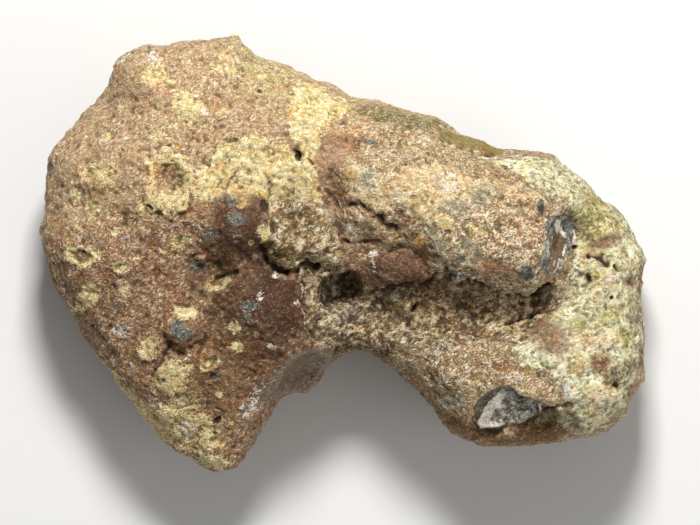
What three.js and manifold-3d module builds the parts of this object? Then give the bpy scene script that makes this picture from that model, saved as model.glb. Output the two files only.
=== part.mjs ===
// A rough agate nodule: one weathered stone with two lobes, lying on its flattest side.
//
// Frame: millimetres, +Z up. X runs along the stone's length, from the broad lobe (-X) to the
// ridged lobe (+X), and Y across it, with the notch between the lobes on the -Y side. The origin
// is below the middle of the stone, on the plane that it rests on.
//
// The stone starts as a block of evenly divided cells. The block's plan is laid out inside the
// stone's outline, its side faces are wrapped round the rim, and its top and bottom faces take
// the heights of the two sides: a rounded edge, a level and the broad forms on it. Lumps that
// stand out over their own foot are joined on, and pits and chips are scooped out.

import * as THREE from "three";
import { ImprovedNoise } from "three/addons/math/ImprovedNoise.js";
import { mergeVertices } from "three/addons/utils/BufferGeometryUtils.js";
import Module from "manifold-3d";

const wasm = await Module();
wasm.setup();

// ---------------------------------------------------------------------------------------------
// Driving dimensions
// ---------------------------------------------------------------------------------------------

// The block's cells along its length, across it and over its height.
const CELLS = { along: 38, across: 32, over: 6 };
const RIM_BAND_ANGLE = 55; // degrees from the vertical at which the rim's own cells begin

const RIM_LEVEL = 10.5; // height of the stone's widest line over the plane it rests on
const RIM_WAVE = 1.2; // how far that line rises and falls round the stone
const TOP_LEVEL = 8; // rise of the upper side over the rim, before its forms
const BASE_DROP = 11; // fall of the lower side under the rim, before it is worn flat
// Distance from the rim over which the upper side rounds off: wide on the broad lobe, and
// narrowing between these two places along X to what it is on the ridged lobe.
const TOP_ROUNDING = { broad: 8, ridged: 4.6, from: -18, to: 2 };
const BASE_ROUNDING = 11;

const SWELL = { size: 9, rise: 0.8 }; // broad uneven swelling of the whole rind
const LUMPS = { size: 3.6, rise: 0.35 }; // lumps of the rind

// The outline, clockwise from the tip of the broad lobe, as [x, y] along four edges. Each edge
// starts at a corner of the block.
const BROAD_EDGE = [
  [-15.8, -23.8], [-17.4, -22.5], [-19, -21.9], [-20.6, -20.1], [-23.5, -16.9], [-26.5, -13.1],
  [-28.7, -9.6], [-30.6, -6.6], [-32.6, -3.4], [-33.6, -0.3], [-33.9, 2.2], [-33.6, 5.6],
  [-33.5, 8.6], [-32.9, 11.8], [-31.8, 13.1], [-30.5, 14.2], [-28.7, 16.3], [-26.9, 17.8],
  [-26.2, 19.6],
];
const UPPER_EDGE = [
  [-25.3, 21.9], [-23.6, 23.1], [-21.4, 23.7], [-20.3, 23.6], [-18.3, 24.1], [-15.5, 24.2],
  [-13.2, 24.3], [-11.9, 24.5], [-11.1, 23.6], [-9.7, 22.2], [-7.7, 21.8], [-4.3, 20.2],
  [-1.2, 19], [1, 17.7], [4.1, 17.3], [7, 16.2], [9.9, 15.7], [11.5, 14.8], [12.6, 13.9],
  [14.8, 13.1], [18.5, 11.6], [20.9, 11.6],
];
const CHIPPED_EDGE = [
  [23.6, 11.2], [24.5, 10], [26.8, 8.4], [28, 7.5], [28.9, 6.1], [30.7, 5.2], [31.5, 4.3],
  [32.6, 2], [33.9, -0.1], [33.5, -2.8], [33.2, -5.4], [33.8, -8.9], [33.8, -10.4],
  [33.5, -12], [34.1, -13.9], [32.6, -15.6], [31.2, -18.3],
];
const NOTCHED_EDGE = [
  [29.9, -19.6], [27.1, -20.4], [23.7, -21], [19.8, -21.4], [15.9, -21.4], [14, -21.1],
  [12.4, -20.2], [10.4, -17.5], [8.7, -15.5], [6.1, -13.2], [4.3, -11.8], [2.5, -11.1],
  [0.7, -10.9], [-0.7, -11.6], [-2.1, -13], [-2.9, -14.5], [-4, -15.5], [-6, -15.5],
  [-7.2, -16.4], [-8.1, -18.1], [-9.1, -20], [-10.5, -21.5], [-11.4, -23.1], [-12.5, -24.1],
  [-13.9, -24.4],
];

// Forms of one side. A spot has its middle at `at` and half sizes `size`, turned by `turn`
// degrees. A strip follows `path` and reaches `reach` to either side. `rise` is its height, under
// zero for a hollow, and `flank` the share of its half size that its slope takes: 1 is a soft
// swelling, and 0.3 a level with steep sides.
const TOP_FORMS = [
  // The broad lobe.
  { name: "broad shoulder", at: [-19, 7], size: [18, 15], rise: 2.8, flank: 1 },
  { name: "slope to the tip", at: [-17, -22], size: [13, 14], rise: -3, flank: 1 },
  { name: "corner knob", at: [-22.6, 20], size: [4.6, 4], rise: 1.3, flank: 0.9 },
  { name: "corner hollow", at: [-28, 15], size: [5, 3], turn: 40, rise: -1, flank: 1 },
  { name: "nose", at: [-11.2, 3.4], size: [5.6, 5.4], turn: 20, rise: 2.4, flank: 0.8 },
  { name: "lower brow", at: [-9, -6.6], size: [6.4, 8], turn: 14, rise: 2, flank: 1 },
  { name: "crease", at: [-14.6, -1.4], size: [6, 2], turn: 8, rise: -1.3, flank: 1 },

  // The crust between the lobes, and the floor of the pocket below it.
  { name: "upper crust", at: [-6, 11.4], size: [7.4, 6.4], turn: 25, rise: 1.1, flank: 0.4 },
  { name: "hanging crust", at: [-5.2, 3], size: [5, 4.4], turn: -15, rise: 2, flank: 0.45 },
  {
    name: "bare band", path: [[6, 12.6], [-1.4, 12], [-2, 8], [-0.4, 3]],
    reach: 1.9, rise: -1.1, flank: 0.8,
  },
  { name: "pocket floor", at: [0.6, -6.4], size: [5.4, 6.4], rise: -2, flank: 0.5 },

  // The ridged lobe.
  {
    name: "long ridge", path: [[2.5, 8.6], [9, 7.6], [16.5, 4.6], [22, 1.8]],
    reach: 10, rise: 4, flank: 1,
  },
  { name: "ridge head", at: [4.2, 7.4], size: [6, 4.4], turn: -14, rise: 1, flank: 0.5 },
  { name: "ridge thumb", at: [16.4, 1.4], size: [8.8, 5.4], turn: -10, rise: 1.8, flank: 0.4 },
  { name: "saddle", at: [5.6, 1.6], size: [5, 3], turn: -10, rise: -1, flank: 1 },
  {
    name: "groove", path: [[2, -6], [7, -6.3], [14, -6.6], [20, -6], [24, -4]],
    reach: 4, rise: -2.4, flank: 0.9,
  },
  { name: "lower plateau", at: [21, -13], size: [13, 9], rise: 1.6, flank: 0.9 },
  { name: "upper shelf", at: [14.4, 12.6], size: [6.5, 2], turn: -26, rise: -3, flank: 0.4 },
  { name: "fall to the end", at: [31, 2], size: [8, 11], rise: -1.8, flank: 1 },
];

const BASE_FORMS = [
  { name: "heel", at: [-16, 2], size: [14, 12], rise: -1.6, flank: 1 },
  { name: "toe", at: [18, -4], size: [13, 9], turn: -20, rise: -1.6, flank: 1 },
];

// Lumps joined on, and scoops taken out, are uneven balls: the middle, the half sizes, the turns
// in degrees about X, Y and Z, the share by which the surface is uneven, and how finely the ball
// is divided.
const LUMPS_ON = [
  {
    name: "thumb", at: [16.8, 0.9, 17.8], size: [8.4, 5.2, 5.2], turns: [0, 4, -10],
    uneven: 0.1, detail: 7,
  },
  {
    name: "thumb root", at: [8, -1, 16.4], size: [6, 3.4, 3.6], turns: [0, 0, 8],
    uneven: 0.14, detail: 4,
  },
  {
    name: "round knob", at: [-17.9, -8.2, 17.8], size: [2.2, 2, 1.9], turns: [0, 0, 0],
    uneven: 0.12, detail: 3,
  },
];
const SCOOPS = [
  {
    name: "ridge end chip", at: [28.6, 1.2, 21.6], size: [6, 6.2, 6], turns: [0, 0, 0],
    uneven: 0.03, detail: 7,
  },
  {
    name: "ridge end chip, lower flake", at: [26.8, -3, 21], size: [4.2, 3, 5],
    turns: [0, 0, 0], uneven: 0.03, detail: 5,
  },
  {
    name: "edge chip", at: [15.8, -20.7, 20.2], size: [3.4, 5.2, 5.6], turns: [0, 0, -25],
    uneven: 0.03, detail: 5,
  },
  {
    name: "edge chip, right flake", at: [20.6, -20.4, 20.2], size: [4.4, 4.6, 5.4],
    turns: [0, 0, -20], uneven: 0.03, detail: 5,
  },
  {
    name: "edge chip, top flake", at: [18.4, -19.4, 22.2], size: [2.8, 4.6, 4.8],
    turns: [0, 0, 0], uneven: 0.03, detail: 5,
  },
  {
    name: "notch shelf", at: [-2.4, -17.8, 17.4], size: [6, 7, 7], turns: [0, 0, 0],
    uneven: 0.05, detail: 7,
  },
  {
    name: "pocket", at: [0, -3.9, 17], size: [2.5, 2.5, 3.4], turns: [24, 0, 0],
    uneven: 0.12, detail: 4,
  },
  {
    name: "bubble crater", at: [-19.4, 8.3, 21.4], size: [2.3, 2.1, 1.9], turns: [0, 0, 0],
    uneven: 0.08, detail: 3,
  },
  {
    name: "lens slit", at: [-13.6, -2.6, 19], size: [2.4, 0.9, 1.6], turns: [0, 0, 22],
    uneven: 0.06, detail: 2,
  },
];

// ---------------------------------------------------------------------------------------------
// Shapes of the forms
// ---------------------------------------------------------------------------------------------

const { clamp, degToRad, lerp, smoothstep } = THREE.MathUtils;
const noise = new ImprovedNoise();

// 1 in the middle of a form, falling to 0 at its edge, which is at `share` 1.
const fall = (share, flank) => 1 - smoothstep(share, 1 - flank, 1);

// How far [x, y] is from a spot's middle, as a share of the spot's half sizes.
function spotShare({ at, size, turn = 0 }, x, y) {
  const angle = degToRad(turn);
  const dx = x - at[0];
  const dy = y - at[1];
  const along = dx * Math.cos(angle) + dy * Math.sin(angle);
  const across = dy * Math.cos(angle) - dx * Math.sin(angle);
  return Math.hypot(along / size[0], across / size[1]);
}

// Distance of a point from the nearest place on a polyline.
const segment = new THREE.Line3();
const nearest = new THREE.Vector3();
function distanceTo(line, point) {
  let least = Infinity;
  for (let i = 1; i < line.length; i++) {
    segment.set(line[i - 1], line[i]).closestPointToPoint(point, true, nearest);
    least = Math.min(least, nearest.distanceTo(point));
  }
  return least;
}

// A path's own line of vectors.
const lines = new Map();
function lineOf(path) {
  if (!lines.has(path)) lines.set(path, path.map(([x, y]) => new THREE.Vector3(x, y, 0)));
  return lines.get(path);
}

function formHeight(form, place) {
  const share = form.path
    ? distanceTo(lineOf(form.path), place) / form.reach
    : spotShare(form, place.x, place.y);
  return form.rise * fall(share, form.flank);
}

const formsHeight = (forms, place) => forms.reduce((sum, form) => sum + formHeight(form, place), 0);

const unevenness = ({ x, y }, seed) =>
  SWELL.rise * noise.noise(x / SWELL.size, y / SWELL.size, seed) +
  LUMPS.rise * noise.noise(x / LUMPS.size, y / LUMPS.size, seed + 0.5);

// ---------------------------------------------------------------------------------------------
// The outline
// ---------------------------------------------------------------------------------------------

const EDGES = [BROAD_EDGE, UPPER_EDGE, CHIPPED_EDGE, NOTCHED_EDGE];
const outlinePoints = EDGES.flat().map(([x, y]) => new THREE.Vector3(x, y, 0));
const outline = new THREE.CatmullRomCurve3(outlinePoints, true, "centripetal");
const STEPS_PER_POINT = 8;
outline.arcLengthDivisions = outlinePoints.length * STEPS_PER_POINT;

// Where each edge starts, as a share of the outline's length, with the end of the last.
const lengths = outline.getLengths();
const corners = [0];
for (const edge of EDGES) corners.push(corners.at(-1) + edge.length);
const cornerShares = corners.map((count) => lengths[count * STEPS_PER_POINT] / lengths.at(-1));

const edgePoint = (edge, share) =>
  outline.getPointAt(lerp(cornerShares[edge], cornerShares[edge + 1], clamp(share, 0, 1)) % 1);

const rimLine = outline.getSpacedPoints(360);

// The place inside the outline for u along the block and v across it, both from 0 to 1: a
// Coons patch between the four edges.
function planPlace(u, v) {
  const place = new THREE.Vector3();
  place.addScaledVector(edgePoint(0, v), 1 - u);
  place.addScaledVector(edgePoint(2, 1 - v), u);
  place.addScaledVector(edgePoint(1, u), v);
  place.addScaledVector(edgePoint(3, 1 - u), 1 - v);
  place.addScaledVector(edgePoint(0, 0), -(1 - u) * (1 - v));
  place.addScaledVector(edgePoint(1, 0), -(1 - u) * v);
  place.addScaledVector(edgePoint(2, 0), -u * v);
  place.addScaledVector(edgePoint(3, 0), -u * (1 - v));
  return place;
}

// ---------------------------------------------------------------------------------------------
// The two sides
// ---------------------------------------------------------------------------------------------

// A quarter round: 0 at the rim, 1 at `rounding` from it and beyond.
const quarterRound = (distance, rounding) =>
  Math.sqrt(1 - (1 - clamp(distance / rounding, 0, 1)) ** 2);

const rimLevel = ({ x, y }) => RIM_LEVEL + RIM_WAVE * Math.sin(x / 9 + 1) * Math.cos(y / 11);

function topHeight(place, fromRim) {
  const level = TOP_LEVEL + formsHeight(TOP_FORMS, place) + unevenness(place, 1);
  const share = smoothstep(place.x, TOP_ROUNDING.from, TOP_ROUNDING.to);
  const rounding = lerp(TOP_ROUNDING.broad, TOP_ROUNDING.ridged, share);
  return rimLevel(place) + quarterRound(fromRim, rounding) * level;
}

function baseHeight(place, fromRim) {
  const level = -BASE_DROP + formsHeight(BASE_FORMS, place) + unevenness(place, 7);
  return Math.max(0, rimLevel(place) + quarterRound(fromRim, BASE_ROUNDING) * level);
}

// A geometry's position alone, with shared vertices merged.
function welded(geometry) {
  geometry.deleteAttribute("normal");
  geometry.deleteAttribute("uv");
  return mergeVertices(geometry);
}

function stoneBlock() {
  const block = welded(
    new THREE.BoxGeometry(2, 2, 2, CELLS.along, CELLS.across, CELLS.over)
  );
  const places = block.getAttribute("position");

  for (let i = 0; i < places.count; i++) {
    const [a, b, c] = [places.getX(i), places.getY(i), places.getZ(i)];
    const reach = Math.max(Math.abs(a), Math.abs(b));
    // The angle from straight up, over the top, round the rim and under the base.
    const onSide = reach > 1 - 1e-6;
    const fromTop = onSide
      ? lerp(RIM_BAND_ANGLE, 180 - RIM_BAND_ANGLE, (1 - c) / 2)
      : RIM_BAND_ANGLE * reach;
    const shrink = reach > 0 ? Math.sin(degToRad(fromTop)) / reach : 0;
    const place = planPlace((a * shrink + 1) / 2, (b * shrink + 1) / 2);
    const fromRim = distanceTo(rimLine, place);
    const height = c > 0 ? topHeight(place, fromRim) : baseHeight(place, fromRim);
    places.setXYZ(i, place.x, place.y, height);
  }
  return block;
}

// ---------------------------------------------------------------------------------------------
// Lumps and scoops
// ---------------------------------------------------------------------------------------------

const UNEVEN_SIZE = 0.8; // size of a ball's own lumps, where the ball's radius is 1

function unevenBall({ at, size, turns, uneven, detail }) {
  const ball = welded(new THREE.IcosahedronGeometry(1, detail));
  const points = ball.getAttribute("position");
  const point = new THREE.Vector3();
  for (let i = 0; i < points.count; i++) {
    point.fromBufferAttribute(points, i);
    const { x, y, z } = point.clone().divideScalar(UNEVEN_SIZE);
    point.multiplyScalar(1 + uneven * noise.noise(x + at[0], y + at[1], z));
    points.setXYZ(i, point.x, point.y, point.z);
  }
  const turn = new THREE.Quaternion().setFromEuler(new THREE.Euler(...turns.map(degToRad)));
  const place = new THREE.Vector3(...at);
  ball.applyMatrix4(new THREE.Matrix4().compose(place, turn, new THREE.Vector3(...size)));
  return ball;
}

function toSolid(geometry) {
  const vertProperties = new Float32Array(geometry.getAttribute("position").array);
  const triVerts = new Uint32Array(geometry.index.array);
  return new wasm.Manifold(new wasm.Mesh({ numProp: 3, vertProperties, triVerts }));
}

function toGeometry(solid) {
  const { vertProperties, triVerts } = solid.getMesh();
  const geometry = new THREE.BufferGeometry();
  geometry.setAttribute("position", new THREE.BufferAttribute(vertProperties, 3));
  geometry.setIndex(new THREE.BufferAttribute(triVerts, 1));
  geometry.computeVertexNormals();
  return geometry;
}

// ---------------------------------------------------------------------------------------------
// The stone
// ---------------------------------------------------------------------------------------------

let solid = toSolid(stoneBlock());
for (const lump of LUMPS_ON) solid = solid.add(toSolid(unevenBall(lump)));
for (const scoop of SCOOPS) solid = solid.subtract(toSolid(unevenBall(scoop)));

// The origin goes below the middle of the stone.
const geometry = toGeometry(solid);
geometry.computeBoundingBox();
const middle = geometry.boundingBox.getCenter(new THREE.Vector3());
geometry.translate(-middle.x, -middle.y, 0);

const rind = new THREE.MeshStandardMaterial({ color: 0xa8845c, roughness: 0.85, metalness: 0 });
const stone = new THREE.Mesh(geometry, rind);
stone.name = "agate_nodule";

const agate = new THREE.Group();
agate.add(stone);

export default agate;
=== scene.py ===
"""A rough agate nodule: the weathered rind, crust, pits and chips of one uncut stone.

The stone's solid is copied, divided finely and carved: the crust is built up, pits, knobs and
cracks are set in one by one, and each kind of surface gets its own roughness. The carved stone then
carries its zones as attributes, which the rind's material reads.

Places and sizes in the tables are millimetres in the stone's own frame, with +Y away from the
notch and +Z up from the plane that the stone lies on.
"""

import math

import bpy
import numpy as np
from bpy.props import FloatProperty, FloatVectorProperty, IntProperty, PointerProperty
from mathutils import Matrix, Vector, noise
from mathutils.kdtree import KDTree


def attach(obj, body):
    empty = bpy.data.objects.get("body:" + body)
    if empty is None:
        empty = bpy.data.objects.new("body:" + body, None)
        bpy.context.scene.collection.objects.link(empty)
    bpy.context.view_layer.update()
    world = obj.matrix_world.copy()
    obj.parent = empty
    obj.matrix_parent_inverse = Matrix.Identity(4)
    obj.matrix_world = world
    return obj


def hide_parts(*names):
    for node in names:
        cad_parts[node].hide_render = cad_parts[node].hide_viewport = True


bl_info = {
    "name": "Rough Agate Nodule",
    "version": (1, 0, 0),
    "blender": (4, 5, 0),
    "location": "View3D > Sidebar > Agate",
    "description": "Carves and paints a weathered agate nodule round its solid",
    "category": "Object",
}

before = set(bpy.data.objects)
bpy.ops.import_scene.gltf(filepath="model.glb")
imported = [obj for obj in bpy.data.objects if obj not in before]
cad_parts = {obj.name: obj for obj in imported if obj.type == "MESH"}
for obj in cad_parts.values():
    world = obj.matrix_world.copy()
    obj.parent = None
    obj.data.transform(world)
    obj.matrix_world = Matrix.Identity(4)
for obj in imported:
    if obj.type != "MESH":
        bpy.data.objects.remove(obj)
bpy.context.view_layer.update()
bpy.ops.object.select_all(action="DESELECT")

MM = 0.001
NODE = "agate_nodule"
RIM_HEIGHT = 10.5  # height of the stone's widest line
DARK_WARMTH = (1.03, 0.96, 0.86)  # the darker grains of a colour are also warmer
CLOUD_RANGE = 6.5  # a clouds texture gives about a thirteenth of its strength to each side
GROOVE_SINK = 0.45  # how far the groove's crumbs lie below the rind
LOBE_EDGE = -9.0  # the broad lobe lies to the left of this
MARKS_BELOW = 46  # round marks scattered over the underside and the flanks
MARKS_ON_LOBE = 154  # and small ones over the top of the broad lobe
SMALL_MARK = 0.55  # their size beside the others'
CHIP_MIDDLE = 17.0  # height of both chips
CHIP_REACH = 6.0  # how far above and below that they reach
CHIP_SIDE = 13.0  # the chips lie to the right of this
WHITE_SPOT = 0.45  # most cover of a white spot, whose edge is ragged all over
WHITE_LINE = 0.6  # most cover of a white line
GRAIN_MIDDLE = 0.36  # the tone at which a kind of surface shows its plain colour
WRINKLE_TURN = 28.0  # the wrinkles run at this angle to the stone's length

# Outlines of the kinds of surface on the upper side.
FIELDS = {
    "pale rind": [
        (-30, 17.5), (-24, 24.5), (-8, 25), (0, 20), (8, 18.5), (16, 14), (12, 8.5), (3, 9), (-3, 8),
        (-8, 6), (-14, 5), (-19, 3.5), (-24, 2.5), (-29, 1.5), (-35, 1), (-36, 8),
    ],
    "dark rind": [
        (-17.5, -0.6), (-13.5, 0.6), (-9, -0.8), (-4.9, -1.6), (-4.4, -3.5), (-3.9, -7), (-2.8, -10.4),
        (-5.5, -10.9), (-8.6, -13.8), (-11.6, -15.6), (-14.4, -13), (-15.9, -10.2), (-15.5, -7.4),
        (-16, -4.8), (-18.5, -3),
    ],
    "yellow rind": [
        (-16, 24.6), (-10, 25), (-3, 20.6), (4, 18), (10, 16), (8, 12.5), (0, 13.5), (-5, 15),
        (-10, 16.5), (-14, 19.5),
    ],
    "end green": [
        (24.6, 4.5), (27, 8), (31.5, 4), (33.6, 0), (33, -8), (30, -11), (25, -10), (24, -6), (27, -3),
        (27.6, 1),
    ],
    "crust": [
        (-6.5, 18.2), (-4.9, 19.1), (-2.5, 18.6), (0.1, 17), (0.6, 15.9), (-1.5, 14.6),
        (-2.5, 12.8), (-2.9, 10.6), (-2.7, 7.8), (-2.4, 5.5), (-1.3, 2.9), (-0.3, 1.4),
        (-0.7, -0.4), (-2.9, -1.3), (-4.9, -0.9), (-6.8, -1.7), (-8.5, -1.3), (-9.2, -0.3),
        (-8.9, 1.2), (-7.9, 2.7), (-8.1, 4.7), (-9.2, 6.3), (-10.5, 6.5), (-11.7, 5.6),
        (-13.7, 5.4), (-15.6, 5.8), (-16.9, 7.2), (-17.1, 9.2), (-15.3, 9.9), (-14.4, 11.5),
        (-12.6, 12.8), (-10.3, 13.5), (-8.1, 12.6), (-6.3, 12), (-5.4, 11.7), (-6.2, 13.9),
    ],
    "crumb": [
        (-8.5, 6.1), (-4.9, 7), (-2.5, 5.5), (-1.3, 2.9), (-0.3, 1.4), (-0.7, -0.4), (-2.9, -1.3),
        (-4.9, -0.9), (-6.8, -1.7), (-9.2, -0.3), (-8.9, 1.2), (-7.9, 2.7),
    ],
    "band": [
        (-2.5, 12.8), (-1.3, 13.6), (0.7, 13.3), (2, 12.8), (0.9, 11.7), (-0.4, 9.7), (-0.9, 7.2),
        (-0.2, 5.3), (0.9, 3.6), (0.7, 1.6), (-0.4, 1.4), (-1.6, 3.3), (-2.4, 5.5), (-2.8, 7.8),
        (-2.9, 10.6),
    ],
    "nose": [
        (-13.2, 6.1), (-11.7, 6.5), (-9.9, 6.1), (-8.5, 5.2), (-7.9, 3.6), (-8.3, 1.6), (-9, 0.5),
        (-10.5, -0.4), (-12.2, -0.1), (-13.7, 1), (-14.8, 2), (-14.4, 4.4),
    ],
    "brow": [
        (-10.5, -0.9), (-8.3, -1.1), (-6.8, -2), (-4.9, -1.8), (-4.5, -3.5), (-4, -6.3),
        (-3.8, -8.7), (-5.2, -9.6), (-7.2, -9.4), (-9.2, -8.5), (-11, -7.2), (-12.6, -5.7),
        (-11, -4), (-10.3, -2.7),
    ],
    "matrix": [
        (-4.6, -2), (-2.9, -1.6), (-0.7, -0.9), (0.7, -1.8), (1.3, -3.1), (2.9, -4), (6.3, -3.5),
        (9.6, -4), (10.8, -2.5), (13.6, -3.4), (16.4, -4), (19.7, -4.7), (22.9, -4.2),
        (24.5, -4.7), (23.3, -6.5), (22, -7.6), (19.7, -8.5), (17.5, -9.1), (14.1, -10.2),
        (11.9, -10.2), (9.6, -10.8), (8, -10.2), (6.3, -10.5), (4.6, -11.7), (2.9, -11.7),
        (0.7, -11), (-1, -11), (-3.3, -10.2), (-3.9, -9.1), (-4.3, -6.3),
    ],
    "pocket": [
        (-2.1, -3.5), (-1, -2.5), (0.7, -2.5), (2, -3.8), (2.5, -5.6), (1.8, -7.4), (0.1, -8.1),
        (-1.3, -7.2), (-2.2, -5.4),
    ],
    "hollow": [
        (-0.7, 5.7), (0.9, 5.6), (3.5, 4.6), (6.3, 3.7), (7.6, 2.7), (9.1, 1.2), (8.5, 0.4),
        (6.3, 0.1), (4, 0.5), (3.1, 1.2), (0.7, 1.5), (-0.7, 2.7),
    ],
    "ridge": [
        (0, 9.7), (1.3, 10.6), (3.1, 9.4), (5.2, 9.2), (6.8, 10), (9.6, 10.6), (12.1, 10),
        (14.7, 9.4), (16.9, 8.8), (19.7, 8.3), (22.6, 7.2), (24.2, 5.5), (22.9, 4.6), (20.3, 5),
        (18.1, 5.7), (16.4, 5.5), (14.1, 5.2), (11.9, 4.7), (9.9, 3.8), (8.5, 3.2), (6.8, 4.1),
        (4.6, 4.7), (2.9, 5.4), (0.9, 5.6), (0.1, 7),
    ],
    "thumb": [
        (7.4, 3.6), (9.9, 4.7), (11.9, 5.4), (14.1, 5.7), (16.4, 5.7), (18.6, 5.5), (20.9, 5.3),
        (22.6, 4.5), (22.7, 2.3), (21.8, 0.7), (21.7, -0.9), (22.4, -2.2), (21.4, -3.8),
        (19.2, -4.1), (16.4, -3.5), (13.6, -2.6), (10.8, -2), (9.6, -0.9), (10.3, 0.9), (9, 2),
    ],
    "upper edge": [
        (0.9, 15.9), (3.1, 16.8), (6.3, 15.9), (9.9, 15.3), (11.6, 14.3), (10.8, 13), (9.1, 13.7),
        (6.3, 14.4), (3.5, 15),
    ],
    "shelf": [
        (10, 14.2), (11.9, 13.8), (14.1, 13), (16.4, 12.7), (18.2, 11.5), (16.4, 11.3),
        (14.4, 11.6), (12.5, 12.2), (10.9, 13),
    ],
    "end": [
        (20.9, 10.6), (23.3, 10.9), (24.8, 9.9), (27.6, 7.8), (30.4, 4.7), (31.9, 3.4),
        (33.2, 1.6), (33.9, -0.9), (33.2, -2.3), (33.4, -4), (33.9, -6.3), (33.4, -10.2),
        (33, -13), (31.2, -16.4), (29.5, -19.6), (26.5, -19.6), (24.2, -15), (22.6, -13.2),
        (19.7, -12.3), (18.4, -11), (20, -9.2), (22.9, -7.4), (24, -4.9), (24.6, -3.5),
        (25.4, -0.9), (26.2, 2.1), (25.1, 5.2), (22.9, 7.2),
    ],
    "end rust": [
        (20.6, -8.1), (22.6, -7.2), (24.5, -7.6), (25.8, -9.2), (26.1, -11), (24.5, -12.1),
        (22.6, -11.4), (20.9, -10.2),
    ],
    "lower brown": [
        (9, -10.8), (10.8, -10.2), (15.3, -10.8), (18.4, -11), (19.7, -12.6), (18.8, -14.6),
        (16.9, -14.6), (14.7, -15.5), (11.3, -15.8), (9.6, -14.7), (8.5, -12.6),
    ],
    "lower side": [
        (11.2, -17.7), (14.1, -18.6), (17.5, -20), (22, -18.6), (24.3, -17.6), (25.6, -19),
        (24.2, -21.3), (17.5, -21.5), (13.9, -20.9), (11.9, -19.2),
    ],
    "edge chip": [
        (14.5, -17.5), (14.9, -16.6), (16.4, -15.2), (17.5, -14.8), (18.6, -14.8), (19.5, -15.7),
        (20.9, -16.1), (21.8, -16.8), (22.3, -17.4), (20.9, -18.2), (20, -18.8), (18.2, -18.9),
        (17.1, -19.5), (15.3, -19.5), (14.5, -18.5),
    ],
    "end chip": [
        (22.4, 3.4), (22.9, 3.9), (23.4, 4.4), (24.1, 4.4), (24.6, 4.6), (25.4, 4), (25.6, 3.4),
        (26.1, 2.7), (26, 1.6), (25.6, 1.2), (25.3, 0.4), (24.8, 0.1), (24.4, -0.8), (24.1, -1.6),
        (23.4, -1.9), (23.1, -2.5), (22.5, -2.2), (22.3, -1.4), (21.8, -1.3), (21.5, -0.6),
        (22, 0.1), (21.8, 0.7), (22.4, 1.2), (22.6, 2), (22.3, 2.5),
    ],
    "bulge": [
        (2.9, -0.9), (4, 0.2), (5.7, 0), (6.8, -0.2), (8.3, 0.5), (9.9, 1.6), (11, 1.1),
        (10.4, -0.4), (9.6, -1.3), (10.3, -2.5), (12.5, -2.8), (15, -3.4), (16.9, -4), (14.1, -4.1),
        (10.8, -3.7), (8, -4), (4.6, -3.8), (2.7, -3.1),
    ],
    "crumb tip": [
        (-9.2, 1.2), (-8.3, 2), (-7, 1.8), (-5.9, 1.2), (-5.4, 0.2), (-6.1, -0.9), (-7.7, -1.1),
        (-8.8, -0.2),
    ],
    "matrix shade": [
        (4.6, -3.8), (9.6, -3.9), (14.1, -4.1), (17.5, -4.5), (15, -7.2), (14.1, -8.3),
        (10.8, -8.7), (6.3, -8.5), (4, -6.5),
    ],
    "upper right": [
        (13.9, 11.5), (17.5, 11.5), (20.9, 11.2), (24, 10.8), (27, 8.1), (29.3, 5.2), (27.6, 4.5),
        (25.4, 5.2), (22.9, 6.1), (19.7, 7.6), (17.5, 9.2), (14.7, 9.9),
    ],
    "brown facet": [
        (16.2, -15.3), (17.2, -14.9), (17.7, -15), (17.1, -15.7), (16.4, -16.8), (15.7, -17.8),
        (14.9, -18.9), (14.5, -18.1), (14.5, -17.1), (15.1, -16.4),
    ],
    "milky facet": [
        (17.7, -14.9), (18.2, -15.4), (17.5, -16.6), (16.8, -17.5), (16.3, -18.5), (17.2, -18.8),
        (17.9, -18.8), (17.9, -19.2), (16.2, -19.5), (15.2, -19.7), (14.9, -19), (15.7, -17.9),
        (16.4, -16.8), (17.1, -15.6),
    ],
    "right half": [
        (3.8, 15.3), (8.5, 16.7), (14.1, 12.8), (24.2, 11.7), (31, 7.2), (35.5, -0.7),
        (35.5, -14.1), (28.7, -23.1), (15.3, -23.1), (9.6, -16.4), (4, -10.8), (4.6, -5.1),
        (10.8, -2.9), (9.6, 4.4), (0.1, 10.6),
    ],
    "lobe shade": [
        (-24, -7.4), (-17.3, -5.1), (-11.7, -7.4), (-6.1, -15.8), (-9.2, -18), (-13.4, -19.7),
        (-17.8, -17.7), (-21.8, -14.1),
    ],
    "matrix right": [
        (14.1, -4.7), (17.5, -4.9), (22, -5), (22.7, -7.2), (20, -9.4), (14.1, -9.2),
    ],
    "left flecks": [
        (-34.3, -5.1), (-30.7, -7.2), (-26.8, -11.9), (-21.8, -16.4), (-16.2, -15.8),
        (-13.4, -19.7), (-14.5, -24.2), (-20.6, -21.4), (-26.3, -17.5), (-31.9, -14.1),
    ],
    "brown core": [
        (23.2, 2), (24.1, 2.4), (24.6, 1.7), (24.8, 0.7), (24.3, -0.3), (23.4, -1.6), (22.8, -1.7),
        (22.6, -0.9), (22.9, 0.4),
    ],
    "hazy facet": [
        (17.7, -16.5), (18.8, -16.4), (19.5, -17), (20.1, -17.8), (19.5, -18.5), (17.9, -18.8),
        (17.2, -18.7), (16.4, -18.5), (16.8, -17.6),
    ],
    "crust shade": [
        (-13.5, 10.1), (-10.8, 9.1), (-7.5, 8.5), (-4.5, 9.4), (-2.9, 8.5), (-2.2, 5.1),
        (-5.2, 4.2), (-7.5, 5.1), (-9.2, 6.8), (-11.8, 7.5), (-13.8, 6.8), (-15.1, 7.5),
    ],
    "notch": [
        (-8.3, -13.2), (-7.2, -11.9), (-5.5, -10.8), (-2.7, -10.4), (0.1, -10.8), (-1, -12.1),
        (-2.1, -13.2), (-2.7, -14.7), (-3.6, -15.9), (-4.9, -15.9), (-6.3, -15.7), (-7.4, -16.1),
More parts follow.
